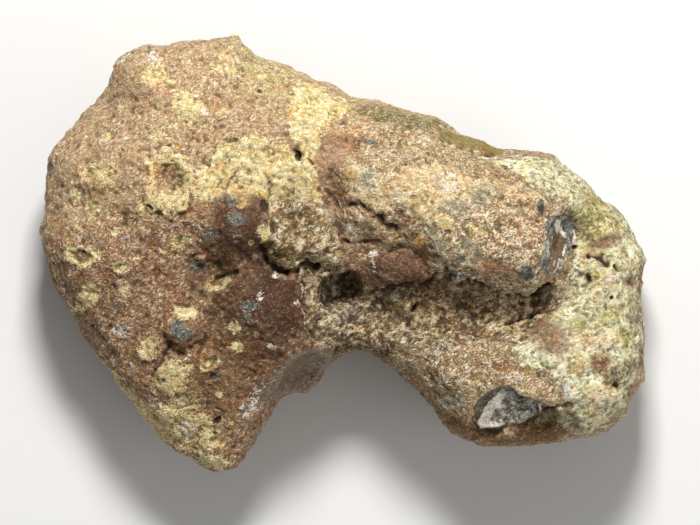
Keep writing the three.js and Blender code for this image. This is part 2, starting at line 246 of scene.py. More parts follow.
        (-8.5, -16.8), (-9.6, -18.2), (-10.3, -17.3), (-10.8, -15.8), (-9.9, -14.6),
    ],
}

# What each outline holds: its name, the kind of surface, how much of it that covers, and the
# width of its soft edge in millimetres.
COVERS = (
    ("pale rind", "sandy", 0.95, 3.5),
    ("dark rind", "dusky", 0.6, 2.2),
    ("yellow rind", "moss", 0.5, 3.0),
    ("right half", "mixed", 0.95, 2.5),
    # Umber over the lower lobe: partly the rind's darker colour there, partly painted shade.
    ("lobe shade", "umber", 0.58, 3.0),
    ("left flecks", "cream", 0.62, 1.0),
    ("upper edge", "moss", 0.7, 1.0),
    ("upper edge", "olive", 0.95, 1.0),
    ("end", "end", 0.95, 1.6),
    ("crust", "crust", 0.95, 1.2),
    ("ridge", "ridge", 0.9, 1.8),
    ("crust shade", "gravel", 0.5, 2.0),
    ("crumb", "gravel", 0.85, 1.4),
    ("crumb tip", "olive", 0.9, 0.6),
    ("upper right", "end", 0.8, 1.6),
    ("matrix", "crumb", 0.95, 1.1),
    # Painted shade: umber laid over the groove below the thumb, where the thumb's shadow falls.
    ("matrix shade", "umber", 0.4, 1.2),
    ("matrix right", "gravel", 0.9, 1.2),
    ("band", "leather", 0.95, 0.4),
    ("nose", "chocolate", 0.85, 1.3),
    ("nose", "dusky", 0.58, 1.4),
    ("brow", "dusky", 1, 1.8),
    ("hollow", "sandy", 0.95, 0.8),
    ("bulge", "chocolate", 0.9, 0.9),
    ("pocket", "druse", 1.0, 0.7),
    ("thumb", "speckled", 0.95, 1.6),
    ("shelf", "tan", 1.0, 0.4),
    ("end rust", "rust", 0.7, 1.0),
    ("lower brown", "speckled", 0.7, 1.8),
    ("lower side", "umber", 0.85, 0.8),
    ("end green", "moss", 0.32, 2.2),
    ("edge chip", "chip", 1.0, 0.25),
    ("end chip", "chip", 1.0, 0.25),
    ("brown facet", "smoky", 1.0, 0.2),
    ("brown core", "smoky", 1.0, 0.3),
    ("hazy facet", "haze", 1.0, 0.2),
    ("milky facet", "milk", 1.0, 0.2),
    ("notch", "translucent", 0.85, 0.7),
)

# Kinds of surface in the order in which they are laid on the rind: how dark the darker grains
# are, how pale the palest are, how frayed and how gradual the edge is, and how far the grains'
# tones differ. An outline laid over others takes away the kinds that come after its own there.
LOOKS = (
    ("sandy", 0.6, 0.6, 1.4, 0.3, 1.0),
    ("mixed", 0.5, 0.7, 1.0, 0.3, 1.1),
    ("tan", 0.75, 0.25, 0.6, 0.06, 0.7),
    ("end", 0.55, 0.75, 0.9, 0.15, 1.1),
    ("crust", 0.6, 0.85, 0.9, 0.12, 1.0),
    ("ridge", 0.65, 0.8, 1.0, 0.2, 1.0),
    ("crumb", 0.4, 0.5, 0.9, 0.15, 1.2),
    ("gravel", 0.4, 0.6, 0.9, 0.2, 1.2),
    ("speckled", 0.45, 0.8, 1.0, 0.25, 1.2),
    ("leather", 0.6, 0.18, 0.8, 0.2, 1.0),
    ("chocolate", 0.55, 0.14, 0.9, 0.3, 1.0),
    ("dusky", 0.5, 0.07, 1.3, 0.3, 1.0),
    ("moss", 0.6, 0.55, 1.4, 0.3, 1.0),
    ("umber", 0.45, 0.15, 0.9, 0.3, 1.0),
    ("sage", 0.6, 0.6, 1.2, 0.3, 1.0),
    ("druse", 0.4, 0.3, 0.8, 0.12, 1.1),
    ("cream", 0.6, 0.7, 1.2, 0.16, 1.0),
    ("olive", 0.45, 0.45, 1.0, 0.16, 1.1),
    ("ochre", 0.6, 0.4, 1.2, 0.12, 1.0),
    ("rust", 0.6, 0.2, 1.4, 0.25, 1.0),
    ("translucent", 0.55, 0.3, 0.7, 0.12, 0.9),
    ("chip", 0.35, 0.45, 0.1, 0.03, 1.7),
    ("smoky", 0.5, 0.15, 0.1, 0.03, 0.7),
    ("haze", 0.4, 0.6, 0.1, 0.03, 1.6),
    ("milk", 0.5, 0.8, 0.1, 0.03, 0.9),
    ("slate", 0.55, 0.3, 0.9, 0.12, 1.0),
    ("white", 0.6, 0.6, 2.2, 0.22, 1.0),
    # Painted shade, laid into cracks and the floors of pits.
    ("dirt", 0.6, 0.1, 1.0, 0.15, 0.8),
)

# The kinds of surface that are made of ragged chunks of different colours.
CHUNKY = ("crumb", "gravel", "crust", "ridge", "speckled", "end", "druse")

# Round marks: kind, place, half-widths, turn in degrees, depth of the dish, height of its rim.
SPOTS = (
    ("cream", (-21.1, 19.8), (1.4, 1.1), 0, -0.12, 0.08),
    ("cream", (-17.5, 16.5), (1.9, 2.1), 0, 0.15, 0.05),
    ("cream", (-27.3, 8.8), (2, 1.4), 15, -0.12, 0.1),
    ("crater", (-19.4, 8), (2.5, 3), -10, 0.15, 0.3),
    ("hollow", (-18.9, 8.2), (1.6, 2), -10, 0.1, 0),
    ("cream", (-28, 5.2), (1.1, 0.7), 10, -0.15, 0.05),
    ("cream", (-18.5, 1.4), (1.2, 0.9), 20, -0.15, 0.05),
    ("olive", (-29.3, -0.2), (1.6, 1), -15, -0.15, 0.12),
    ("cream", (-20.1, 0.5), (0.6, 0.6), 0, -0.1, 0),
    ("cream", (-24.9, -1.4), (0.9, 0.7), 15, -0.2, 0.1),
    ("cream", (-23, -0.5), (0.4, 0.3), 0, -0.1, 0),
    ("cream", (-24.5, -3.9), (0.6, 0.8), 0, -0.1, 0),
    ("cream", (-28.7, -4.9), (1.3, 1.9), -25, 0.1, 0),
    ("white", (-25.7, -6.2), (0.4, 0.4), 0, -0.1, 0),
    ("lens", (-13.7, -3), (2.4, 1.2), 22, -0.2, 0.12),
    ("cream", (-17.6, -6.7), (1.9, 0.9), -5, 0.3, 0),
    ("slate", (-18.1, -8.6), (1.9, 1), -25, 0.1, 0),
    ("white", (-25, -8.5), (1.1, 0.8), 0, -0.1, 0),
    ("cream", (-21.7, -10.3), (1.2, 1.5), 0, -0.15, 0.08),
    ("cream", (-15, -12.1), (1.1, 1), 0, -0.25, 0.15),
    ("cream", (-19.2, -13.9), (2.5, 2.2), 40, 0.15, 0),
    ("white", (-18.4, -16.1), (0.4, 0.4), 0, 0, 0),
    ("white", (-17.5, -19.4), (1, 0.9), 0, 0.15, 0),
    ("white", (-10.5, -16.8), (0.8, 1.6), -30, -0.1, 0),
    ("pit", (-14.2, -18.6), (0.7, 0.3), 30, -0.4, 0),
    ("cream", (-14.1, -21), (1, 0.8), 0, -0.15, 0.05),
    ("cream", (-14.2, -23.4), (1.7, 0.9), 10, 0.1, 0),
    ("cream", (-12.6, -10.4), (0.7, 0.3), 20, -0.1, 0),
    ("white", (-24.7, 21.9), (0.8, 0.3), 35, 0, 0),
    ("white", (-21.4, 22.1), (0.6, 0.6), 0, -0.1, 0),
    ("slate", (-21.8, 22.7), (0.3, 0.6), 0, 0, 0),
    ("white", (-21, 23.6), (0.8, 0.2), 0, 0, 0),
    ("slate", (-25.9, 13.5), (0.3, 0.4), 0, 0, 0),
    ("slate", (-24.7, 11.6), (0.4, 0.3), 0, 0, 0),
    ("slate", (-19.5, 12.2), (0.4, 0.3), 0, 0, 0),
    ("slate", (-17.4, 11.5), (0.4, 0.2), 0, 0, 0),
    ("slate", (-32.9, 9.8), (0.4, 0.8), 15, 0, 0),
    ("slate", (-29.7, 12.1), (0.3, 0.6), -30, 0, 0),
    ("slate", (-25.6, 17.7), (0.3, 0.3), 0, 0, 0),
    ("white", (-15.5, 15.9), (0.4, 0.4), 0, 0, 0),
    ("white", (-16.4, 8.9), (0.6, 0.6), 0, 0.1, 0),
    ("slate", (-12.5, 5.7), (1, 0.7), 10, 0.1, 0),
    ("slate", (-11.9, 3.9), (1.3, 0.7), -8, 0, 0),
    ("slate", (-14.8, 2.4), (0.8, 0.6), 0, 0, 0),
    ("slate", (-16.2, -1.3), (1, 0.7), 20, 0, 0),
    ("slate", (-10.5, -5.8), (1.3, 0.7), 0, 0, 0),
    ("slate", (-10.9, -7.2), (0.8, 0.4), 20, 0, 0),
    ("white", (-7.3, -2.3), (0.8, 0.4), 0, 0, 0),
    ("white", (-9.3, -4.6), (0.4, 0.6), -20, 0, 0),
    ("white", (-5.3, -5.6), (0.5, 0.4), 20, 0, 0),
    ("white", (-8.3, -10.2), (0.9, 0.3), -20, 0, 0),
    ("slate", (-14.5, -13.7), (0.6, 0.4), 20, -0.3, 0),
    ("slate", (2.9, 12.5), (1, 0.4), -10, 0, 0),
    ("white", (10.5, -11.4), (0.6, 1.1), -15, 0, 0),
    ("white", (18.8, -13.9), (1, 0.7), 10, 0.15, 0),
    ("white", (24.2, -13.2), (0.7, 0.6), 0, 0, 0),
    ("white", (30.1, -2.7), (0.8, 0.6), 0, 0.1, 0),
    ("white", (0.9, 2.9), (1, 0.7), -20, 0.1, 0),
    ("white", (3, 0), (0.8, 0.4), 10, 0.1, 0),
    ("white", (-0.9, -0.9), (0.8, 0.6), 0, 0.1, 0),
    ("ochre", (0.6, 8.9), (0.8, 1), 0, 0.1, 0),
    ("ochre", (8.9, 1.8), (0.8, 0.9), -30, 0.35, 0),
    ("ochre", (-6.1, 15.7), (0.6, 0.8), 0, 0.1, 0),
    ("ochre", (-11.3, 5.7), (0.6, 0.6), 0, 0, 0),
    ("ochre", (-14.8, 9.2), (0.7, 0.6), 0, 0, 0),
    # Painted shade: a grey shadow patch on the ridge head beside the band, painted in sage.
    ("sage", (2.6, 8.3), (1.2, 1.5), -20, 0, 0),
    ("sage", (12.1, -16.4), (1.8, 1), 20, 0, 0),
    ("slate", (12.2, -1.8), (1, 0.7), 0, 0, 0),
    ("slate", (20.2, -1.6), (0.8, 0.9), 0, 0, 0),
    ("druse", (30.7, -13.2), (2.3, 1.2), 30, 0, 0),
    ("moss", (28.2, 3.6), (2.6, 3.8), 20, 0, 0),
    ("rust", (28.6, -12.2), (1.5, 1.1), 20, 0, 0),
    ("sage", (15.8, 6.4), (2.2, 1.5), 20, 0, 0),
    ("sage", (12.2, 5), (2.2, 1.1), 0, 0, 0),
    ("sage", (14.2, 0.4), (2.4, 1.5), -20, 0, 0),
    ("sage", (9.8, 3.2), (1.2, 1.2), 0, 0, 0),
    ("sage", (19.5, 4.6), (1.2, 1), 0, 0, 0),
    ("white", (11.4, 7.8), (1.6, 1), -20, 0.1, 0),
    ("rust", (7, 0.7), (1.6, 0.7), 10, 0, 0),
    ("rust", (13.5, -8.6), (0.6, 0.3), 0, 0, 0),
    ("rust", (16.8, -1.1), (2.6, 0.9), -12, 0, 0),
    ("cream", (11, 3.7), (1.5, 0.8), -35, 0.15, 0),
    ("cream", (14.6, 2.7), (1.3, 0.7), -30, 0.15, 0),
    ("white", (18.2, 2.4), (1, 0.6), -40, 0.15, 0),
    ("white", (13.2, -1.9), (0.9, 0.4), -10, 0.1, 0),
    ("slate", (12.9, -0.4), (0.9, 0.5), 30, 0, 0),
    ("sage", (11, 1.2), (1.4, 0.9), -30, 0, 0),
    ("moss", (29.3, -7.1), (1.9, 1), 10, 0.1, 0),
    ("moss", (26.1, -8.1), (1.2, 0.8), 0, 0.1, 0),
    ("moss", (28, -2.6), (1.3, 0.8), 30, 0, 0),
    ("moss", (31.4, -9.6), (1, 1.5), 0, 0, 0),
    ("cream", (26.1, -12.7), (1.3, 1), 10, 0.2, 0),
    ("white", (27.9, -9.9), (0.9, 0.7), 20, 0.2, 0),
    ("white", (25.2, -15.2), (1.1, 0.8), -20, 0.2, 0),
    ("white", (28.4, -16.2), (0.8, 0.9), 0, 0.2, 0),
    ("sage", (32.5, -7.4), (0.9, 1.5), 0, 0, 0),
    ("sage", (24.9, -18.6), (1.3, 1.1), 0, 0, 0),
    ("rust", (29.4, 1.4), (1.6, 0.8), 20, 0, 0),
    ("rust", (31.8, -3), (0.8, 1), 0, 0, 0),
    ("pit", (25.9, 0.8), (0.5, 0.3), 20, -0.3, 0),
    ("pit", (29.8, -4.9), (0.4, 0.3), 0, -0.3, 0),
)

# Flat faces of the edge chip, each through three points.
FACETS = (
    ((16.4, -15, 19.3), (14.6, -17.5, 17.6), (17.3, -16.4, 17.4)),
    ((17.3, -16.4, 17.3), (15.4, -19.2, 16.3), (19.7, -18.7, 16.4)),
    ((18.6, -14.9, 19.7), (20.9, -16.6, 18), (18.6, -17.2, 16.7)),
    ((21.8, -16.8, 17.5), (20.9, -18.5, 16.2), (19.7, -18.5, 16.3)),
)

# Broad lumps and dips of the upper side: place, half-widths, turn in degrees, height.
SWELLINGS = (
    ("nose", (-11.2, 3.4), (2.5, 2.7), 0, 0.75),
    ("hollow under the ridge head", (5.2, 3), (3.8, 1.9), -15, 1.4),
    ("thumb", (15.5, -0.6), (7, 2.4), -12, 0.9),
    ("dip beside the thumb", (26.4, 0.8), (1.3, 3.6), -8, -0.4),
    ("filling of the groove", (19.4, -6.2), (4.2, 1.8), -4, 1.0),
    ("brown bulge", (6.4, -0.9), (3.4, 1.5), 0, 0.5),
    ("tip of the hanging crust", (-7.4, 0.4), (1.9, 1.5), -20, 0.5),
    ("knob of the thumb", (20.9, -2.4), (1.2, 0.9), 0, 0.4),
)

# Cracks and creases: what each is, its line, its half-width and its depth.
CRACKS = (
    ("hole in the crust", [(-5.4, 11.6), (-5.1, 10.8)], 0.32, 1.1),
    ("crack under the hole", [(-4.9, 10.6), (-4.3, 9.7), (-3.3, 8.5)], 0.2, 0.2),
    ("overhang of the ridge head", [(0.7, 5.5), (2.2, 5.3), (3.9, 4.6), (5.9, 3.6)], 0.4, 0.8),
    ("cleft below it", [(-0.1, 1.6), (1.1, 1.2), (2.7, 1.6), (4.2, 2)], 0.35, 0.45),
    ("foot of the hanging crust", [
        (-9.4, 0.8), (-8.6, -0.9), (-6.8, -1.9), (-5.7, -1.6), (-4.6, -0.9), (-2.9, -1.6),
    ], 0.45, 1.1),
    ("edge of the brow", [(-4.7, -2.5), (-4.5, -4.7), (-3.8, -6.5), (-3.4, -8.3), (-2.8, -9.6)], 0.3, 0.4),
    ("slit in the groove", [(17.3, -8), (18.8, -7.4), (20.2, -7.2), (21.7, -6.6)], 0.22, 0.7),
    ("short slit", [(7, -7.6), (7.4, -6.7), (7.9, -5.9)], 0.35, 0.8),
    ("groove pit", [(11.2, -8.3), (11.7, -8)], 0.35, 0.8),
    ("groove pit 2", [(4.2, -7.1), (4.7, -6.4)], 0.3, 0.7),
    ("groove pit 3", [(9.4, -9.6), (9.9, -9.2)], 0.3, 0.6),
    ("foot of the thumb", [
        (10.3, -2), (12.5, -2.7), (14.7, -3.4), (16.9, -4.1), (19.2, -4.7), (21.4, -4.5), (22.9, -3.6),
    ], 0.5, 1.5),
    ("thumb foot, left", [(4.6, -3.9), (6.8, -3.8), (9.1, -3.6), (10.3, -2.6)], 0.5, 0.8),
    ("cleft at the end", [(27.4, -0.2), (28.5, -0.4), (29.6, -1.2)], 0.35, 0.7),
    ("end pit", [(30.4, -1.4), (30.7, -1.7)], 0.35, 0.7),
    ("end pit 2", [(27.3, -2.8), (27.5, -3)], 0.3, 0.7),
    ("end pit 3", [(30.1, -14.6), (30.5, -14.7)], 0.3, 0.6),
    ("crease above the lens", [(-17.3, -0.8), (-16.2, -1.3), (-14.8, -1.1), (-13.5, -0.2)], 0.5, 0.15),
    ("lens slit", [(-14.6, -3.2), (-13.2, -2.3), (-11.9, -1.8)], 0.22, 0.25),
    ("crease by the nose", [(-12.6, 1.2), (-10.8, -0.2), (-9.2, -0.9)], 0.4, 0.4),
    ("crest crack", [(-9.2, 9.4), (-8.1, 7.6), (-8.5, 6.1)], 0.22, 0.3),
    ("chip foot", [(22.4, -17.5), (23.8, -17), (25.6, -16.6)], 0.35, 0.5),
    ("lower edge pits", [(14.1, -20.9), (14.6, -21)], 0.3, 0.6),
    ("edge of the shelf", [(10.8, 13), (12.6, 12.1), (14.6, 11.5), (16.6, 11.2)], 0.35, 0.5),
    ("nose shade", [(-16.6, -0.2), (-15.5, 0.5), (-14.6, 0.9)], 0.3, 0.3),
    ("left crevice", [(-21.5, -13.7), (-20.9, -12.6), (-20, -11), (-19.5, -10.2)], 0.4, 0.5),
    ("edge of the nose", [
        (-9.2, 5.5), (-8.1, 4.4), (-7.8, 2.5), (-8.3, 0.9), (-10, -0.2), (-11.9, -0.4),
    ], 0.4, 0.45),
    ("knob foot", [(-19, -10.8), (-17.6, -11.2), (-16.3, -10.8), (-15.5, -9.6)], 0.4, 0.5),
)

# Pale edges, flakes, hair lines and a few painted highlights: kind, line and half-width.
LINES = (
    ("milk", [(17, -15.9), (16, -17), (15.2, -18.6), (15.1, -19.2)], 0.16),
    ("milk", [(15.1, -19.2), (16.2, -19.1), (16.9, -18.7)], 0.12),
    ("milk", [(20, -18.2), (20.6, -17.6)], 0.28),
    # Painted highlights: glints on the edge chip's right facet, painted milk-white.
    ("milk", [(21.8, -17), (22, -16.5)], 0.16),
    ("milk", [(18.6, -16.3), (19, -16.7)], 0.12),
    ("milk", [(17.4, -16.9), (18.1, -17.1)], 0.16),
    ("milk", [(23.9, 3.6), (24, 3), (24.4, 2.4)], 0.2),
    ("milk", [(24.7, 1), (24.5, 0.3), (24.4, -0.2)], 0.14),
    ("milk", [(24, -0.6), (23.6, -1.4), (23.1, -2)], 0.07),
    ("milk", [(25.8, 2.6), (25.9, 1.6), (25.8, 1)], 0.12),
    ("milk", [(23.2, -1.1), (23.3, -0.8)], 0.13),
    ("milk", [(23.5, 4.4), (23.9, 4.5)], 0.2),
    ("cream", [(-8.6, 6.5), (-8.2, 5.4), (-8, 3.8), (-8.5, 2.5), (-9.2, 1.4)], 0.22),
    ("white", [(-2.6, 7.4), (-2.5, 5.7), (-1.8, 4.2), (-0.9, 2.7)], 0.16),
    ("white", [(3.3, 1.2), (3.3, -0.2), (3.5, -2)], 0.14),
    ("white", [(-4.8, -1.6), (-4.7, -3.5), (-4.4, -5.5), (-3.8, -7.6)], 0.16),
    ("white", [(-0.3, 5.8), (0.4, 4.7), (0.1, 3.4), (0.9, 2.6)], 0.11),
    ("white", [(0.7, 6.5), (1, 5.5), (2, 4.5), (1.8, 3.2)], 0.11),
    ("cream", [(0.9, 8.1), (0.8, 7), (1.3, 6.1)], 0.25),
    # Painted highlights: glints on the edge chip's right facet, painted milk-white.
    ("milk", [(21.8, -16.7), (21.9, -17.5)], 0.13),
    ("milk", [(23.7, 3.2), (23.9, 2.4)], 0.12),
    ("milk", [(24.2, 2.9), (24.6, 2)], 0.16),
    ("slate", [(25, 3.7), (25, 2.3)], 0.3),
    ("slate", [(21.7, 5.7), (21.9, 4.5)], 0.35),
    ("cream", [(9.6, -0.9), (10.1, -2), (11.4, -2.5)], 0.2),
    ("umber", [(-4.8, 11.5), (-3.8, 10.6), (-2.7, 9.2)], 0.1),
    ("rust", [(-13.1, 6.8), (-12.7, 8.3), (-11.3, 10.3)], 0.14),
    ("ochre", [(6.1, 3.6), (6.1, 2.4), (6.3, 0.9)], 0.22),
)


def colour(name, description, rgb):
    """A colour setting."""
    return FloatVectorProperty(
        name=name, description=description, default=rgb, size=3, min=0.0, max=1.0, subtype="COLOR"
    )


def length(name, description, millimetres):
    """A length setting, given in millimetres."""
    return FloatProperty(
        name=name, description=description, default=millimetres * MM, min=0.0, unit="LENGTH", precision=5
    )


class AgateShape(bpy.types.PropertyGroup):
    """Sizes that the carving of the stone works from."""

    grid: length("Grid", "Size of the fine mesh that the stone is carved from", 0.17)
    rounding: IntProperty(name="Rounding", description="Smoothing rounds before carving", default=34, min=0)
    upper_triangles: IntProperty(
        name="Upper triangles", description="Most triangles above the rim", default=126000, min=1000,
    )
    lower_triangles: IntProperty(
        name="Lower triangles", description="Most triangles below the rim", default=46000, min=1000,
    )
    upper_from: length("Upper from", "Height from which the outlines start to hold", 5.0)
    upper_to: length("Upper to", "Height from which the outlines hold in full", 9.0)
    crust_rise: length("Crust rise", "How far the pale crust stands off the rind", 0.32)
    end_rise: length("End rise", "How far the end's coating stands off the rind", 0.18)
    swell: length("Swell", "Height of the rind's broad unevenness", 0.2)
    lump: length("Lump", "Height of the rind's small lumps", 0.11)
    wrinkle: length("Wrinkle", "Height of the rind's wrinkles", 0.08)
    grain: length("Grain", "Height of the finest grain", 0.045)
    crumb: length("Crumb", "Height of the crumbs in the groove", 0.27)
    rough: length("Rough", "Height of the crust's roughness", 0.05)


class AgateColours(bpy.types.PropertyGroup):
    """Colours of the rind and of what grows on it."""

    rind: colour("Rind", "Bare rind", (0.33, 0.2, 0.11))
    stain: colour("Stain", "Iron-stained rind", (0.325, 0.168, 0.092))
    speckle: colour("Speckle", "Palest grains", (0.98, 0.9, 0.66))
    sandy: colour("Sandy", "Pale sandy rind", (0.49, 0.33, 0.185))
    dusky: colour("Dusky", "Dark rind in the middle", (0.088, 0.042, 0.023))
    mixed: colour("Mixed", "Brown and cream rind of the thick end", (0.43, 0.3, 0.165))
    moss: colour("Moss", "Yellow-green coating", (0.5, 0.465, 0.18))
    umber: colour("Umber", "Side below the edge chip", (0.21, 0.115, 0.05))
    tan: colour("Tan", "Smooth step on the upper edge", (0.26, 0.2, 0.07))
    end: colour("End", "Pale coating of the thick end", (0.8, 0.79, 0.53))
    crust: colour("Crust", "Cream crust over the middle", (0.78, 0.66, 0.33))
    ridge: colour("Ridge", "Cream coating of the ridge", (0.68, 0.53, 0.3))
    crumb: colour("Crumb", "Crumbly filling of the groove", (0.385, 0.295, 0.175))
    speckled: colour("Speckled", "Brown and cream mixture on the thumb", (0.465, 0.335, 0.205))
    chocolate: colour("Chocolate", "Smooth brown rind", (0.175, 0.092, 0.055))
    gravel: colour("Gravel", "Crumbly foot of the crust", (0.48, 0.36, 0.2))
    leather: colour("Leather", "Smooth brown band and hollow", (0.45, 0.29, 0.175))
    sage: colour("Sage", "Grey-green patches", (0.36, 0.33, 0.225))
    druse: colour("Druse", "Grey crystals in the pocket", (0.35, 0.3, 0.2))
    cream: colour("Cream", "Filling of the round marks", (0.72, 0.58, 0.28))
    olive: colour("Olive", "Hollows with a greenish floor", (0.24, 0.19, 0.08))
    ochre: colour("Ochre", "Yellow and amber lumps", (0.62, 0.42, 0.15))
    rust: colour("Rust", "Red-brown stains", (0.32, 0.2, 0.12))
    slate: colour("Slate", "Blue-grey spots", (0.13, 0.132, 0.122))
    white: colour("White", "White mineral grains", (0.8, 0.76, 0.68))
    warm_tint: colour("Warm tint", "What the warmer chunks are tinted with", (1.0, 0.7, 0.48))
    grey_tint: colour("Grey tint", "What the greyer chunks are tinted with", (0.58, 0.6, 0.56))
    blush_tint: colour("Blush tint", "What the rind's redder patches are tinted with", (1, 0.78, 0.64))
    straw_tint: colour("Straw tint", "What the rind's yellower patches are tinted with", (1.0, 0.96, 0.66))
    # Painted shade: the dark colour of cracks, pit floors, crevices and hollows.
    dirt: colour("Dirt", "Dark floor of holes", (0.06, 0.038, 0.024))
    translucent: colour("Translucent", "Grey stone at the notch", (0.2, 0.125, 0.07))
    smoky: colour("Smoky", "Brown glassy stone in the chips", (0.15, 0.09, 0.045))
    haze: colour("Haze", "Cloudy grey stone in the chips", (0.215, 0.2, 0.168))
    milk: colour("Milk", "Milky chalcedony in the chips", (0.82, 0.77, 0.64))
    chip: colour("Chip", "Glassy grey stone in the chips", (0.165, 0.158, 0.138))


class AgateStage(bpy.types.PropertyGroup):
    """The floor, the lights and the camera."""

    floor_size: length("Floor size", "Side of the floor", 900.0)
    floor_colour: colour("Floor", "Pale floor", (0.8, 0.79, 0.77))
    frame_width: length("Frame width", "Width of the view at the stone", 78.54)
    lens: FloatProperty(
        name="Lens", description="Focal length in millimetres", default=600.0, min=1.0, unit="CAMERA",
    )
    view_centre: FloatVectorProperty(
        name="View centre", description="Point that the camera looks straight down on",
        default=(0.673 * MM, -0.939 * MM, 12 * MM), size=3, unit="LENGTH",
    )
    key_place: FloatVectorProperty(
        name="Key place", description="Where the main soft light stands",
        default=(10 * MM, 220 * MM, 280 * MM), size=3, unit="LENGTH",
    )
    key_size: length("Key size", "Side of the main soft light", 80.0)
    key_power: FloatProperty(
        name="Key", description="Power of the main soft light", default=1.5, min=0.0, unit="POWER",
    )
    side_place: FloatVectorProperty(
        name="Side place", description="Where the broad weak light stands",
        default=(240 * MM, -160 * MM, 140 * MM), size=3, unit="LENGTH",
    )
    side_size: length("Side size", "Side of the broad weak light", 300.0)
    side_share: FloatProperty(
        name="Side share", description="Power of the broad weak light over the main one's", default=0.22, min=0.0,
    )
    sky_power: FloatProperty(name="Sky", description="Strength of the even light", default=0.23, min=0.0)


def smooth(value, low, high):
    """0 below low, 1 above high, and a smooth step between them."""
    part = np.clip((value - low) / (high - low), 0.0, 1.0)
    return part * part * (3.0 - 2.0 * part)


def cloud(points, size, octaves=3, shift=0.0):
    """Fractal noise of about -1 to 1 with lumps of a size in millimetres."""
    return np.array([noise.fractal(place, 1.0, 2.0, octaves) for place in (points / size + shift).tolist()])


def inside_distance(points, outline):
    """Millimetres from each point in plan to an outline, more than zero inside it."""
    corners = np.array(outline, dtype=float)
    inside = np.zeros(len(points), dtype=bool)
    nearest = np.full(len(points), 1e9)
    for start, end in zip(corners, np.roll(corners, -1, axis=0)):
        nearest = np.minimum(nearest, segment_distance(points, start, end))
        crosses = (start[1] > points[:, 1]) != (end[1] > points[:, 1])
        if start[1] != end[1]:
            meets = start[0] + (points[:, 1] - start[1]) * (end[0] - start[0]) / (end[1] - start[1])
            inside ^= crosses & (points[:, 0] < meets)
    return np.where(inside, nearest, -nearest)


def segment_distance(points, start, end):
    """Distance from each point in plan to one straight stretch."""
    run = end - start
    offset = points - start
    along = np.clip(offset @ run / max(run @ run, 1e-9), 0.0, 1.0)
    rest = offset - along[:, None] * run
    return np.hypot(rest[:, 0], rest[:, 1])


def line_distance(points, line):
    """Distance from each point in plan to a line of several stretches."""
    corners = np.array(line, dtype=float)
    nearest = np.full(len(points), 1e9)
    for start, end in zip(corners[:-1], corners[1:]):
        nearest = np.minimum(nearest, segment_distance(points, start, end))
    return nearest


def near(points, places, margin):
    """The numbers of the points within a margin of the box round some places, in plan."""
    places = np.array(places, dtype=float)
    low = places.min(axis=0) - margin
    high = places.max(axis=0) + margin
    return np.flatnonzero(((points > low) & (points < high)).all(axis=1))


def read_points(mesh):
    """A mesh's points in millimetres."""
    places = np.empty(len(mesh.vertices) * 3)
    mesh.vertices.foreach_get("co", places)
    return places.reshape(-1, 3) / MM


def read_normals(mesh):
    """A mesh's smooth normals, one to a point."""
    normals = np.empty(len(mesh.vertices) * 3, dtype=np.float32)
    mesh.vertex_normals.foreach_get("vector", normals)
    return normals.reshape(-1, 3).astype(float)


def read_edges(mesh):
    """The pairs of points that a mesh's edges join."""
    pairs = np.empty(len(mesh.edges) * 2, dtype=np.int32)
    mesh.edges.foreach_get("vertices", pairs)
    return pairs.reshape(-1, 2)


def write_points(mesh, points):
    """Puts a mesh's points at places in millimetres."""
    mesh.vertices.foreach_set("co", (points * MM).ravel())
    mesh.update()


def blurred(values, edges, rounds):
    """Values at points, averaged with their neighbours' again and again."""
    count = len(values)
    share = np.bincount(edges.ravel(), minlength=count).astype(float)
    first, second = edges[:, 0], edges[:, 1]
    values = values.astype(float).copy()
    for _ in range(rounds):
        for axis in range(values.shape[1]):
            one = values[:, axis]
            total = np.bincount(first, one[second], count) + np.bincount(second, one[first], count)
            values[:, axis] = 0.5 * one + 0.5 * total / share
    return values


def apply_modifier(piece, kind, name, **settings):
    """Adds a modifier with its settings and applies it."""
    modifier = piece.modifiers.new(name, kind)
    for setting, value in settings.items():
        setattr(modifier, setting, value)
    bpy.context.view_layer.objects.active = piece
    bpy.ops.object.modifier_apply(modifier=name)


def weight_group(piece, name, weights, levels=24):
    """A vertex group that holds weights of 0 to 1 in even steps."""
    group = piece.vertex_groups.new(name=name)
    steps = np.rint(np.clip(weights, 0.0, 1.0) * levels).astype(int)
    for step in range(1, levels + 1):
        members = np.flatnonzero(steps == step)
        if len(members):
            group.add(members.tolist(), step / levels, "REPLACE")
    return name


def copy_of_solid():
    """The stone's solid as a piece of its own, with its doubled points merged."""
    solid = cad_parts[NODE]
    solid.select_set(True)
    bpy.context.view_layer.objects.active = solid
    bpy.ops.object.duplicate()
    solid.select_set(False)
    piece = bpy.context.view_layer.objects.active
    piece.name = "agate_stone"
    piece.data.name = "agate_stone"
    bpy.ops.object.mode_set(mode="EDIT")
    bpy.ops.mesh.select_all(action="SELECT")
    bpy.ops.mesh.remove_doubles(threshold=0.001 * MM)
    bpy.ops.object.mode_set(mode="OBJECT")
    piece.data.materials.clear()
    return piece


def paint_outlines(place, warp, upper, paint):
    """Lays the outlined kinds of surface over each other. The softer an edge, the more it wanders."""
    order = [look[0] for look in LOOKS]
    for name, kind, cover, softness in COVERS:
        outline = FIELDS[name]
        plan = place + min(1.0, softness) * warp
        close = near(plan, outline, softness)
        depth = inside_distance(plan[close], outline)
        layer = np.clip(0.5 + 0.5 * depth / softness, 0.0, 1.0) * cover * upper[close]
        for higher in order[order.index(kind) + 1:]:
            paint[higher][close] *= 1.0 - layer
        paint[kind][close] = np.maximum(paint[kind][close], layer)


def turned_radius(plan, place, half, turn):
    """How far each point in plan is out from the middle of an oval: 1 on the oval itself."""
    offset = plan - np.array(place)
    cosine, sine = math.cos(math.radians(turn)), math.sin(math.radians(turn))
    return np.hypot(offset @ (cosine, sine) / half[0], offset @ (-sine, cosine) / half[1])


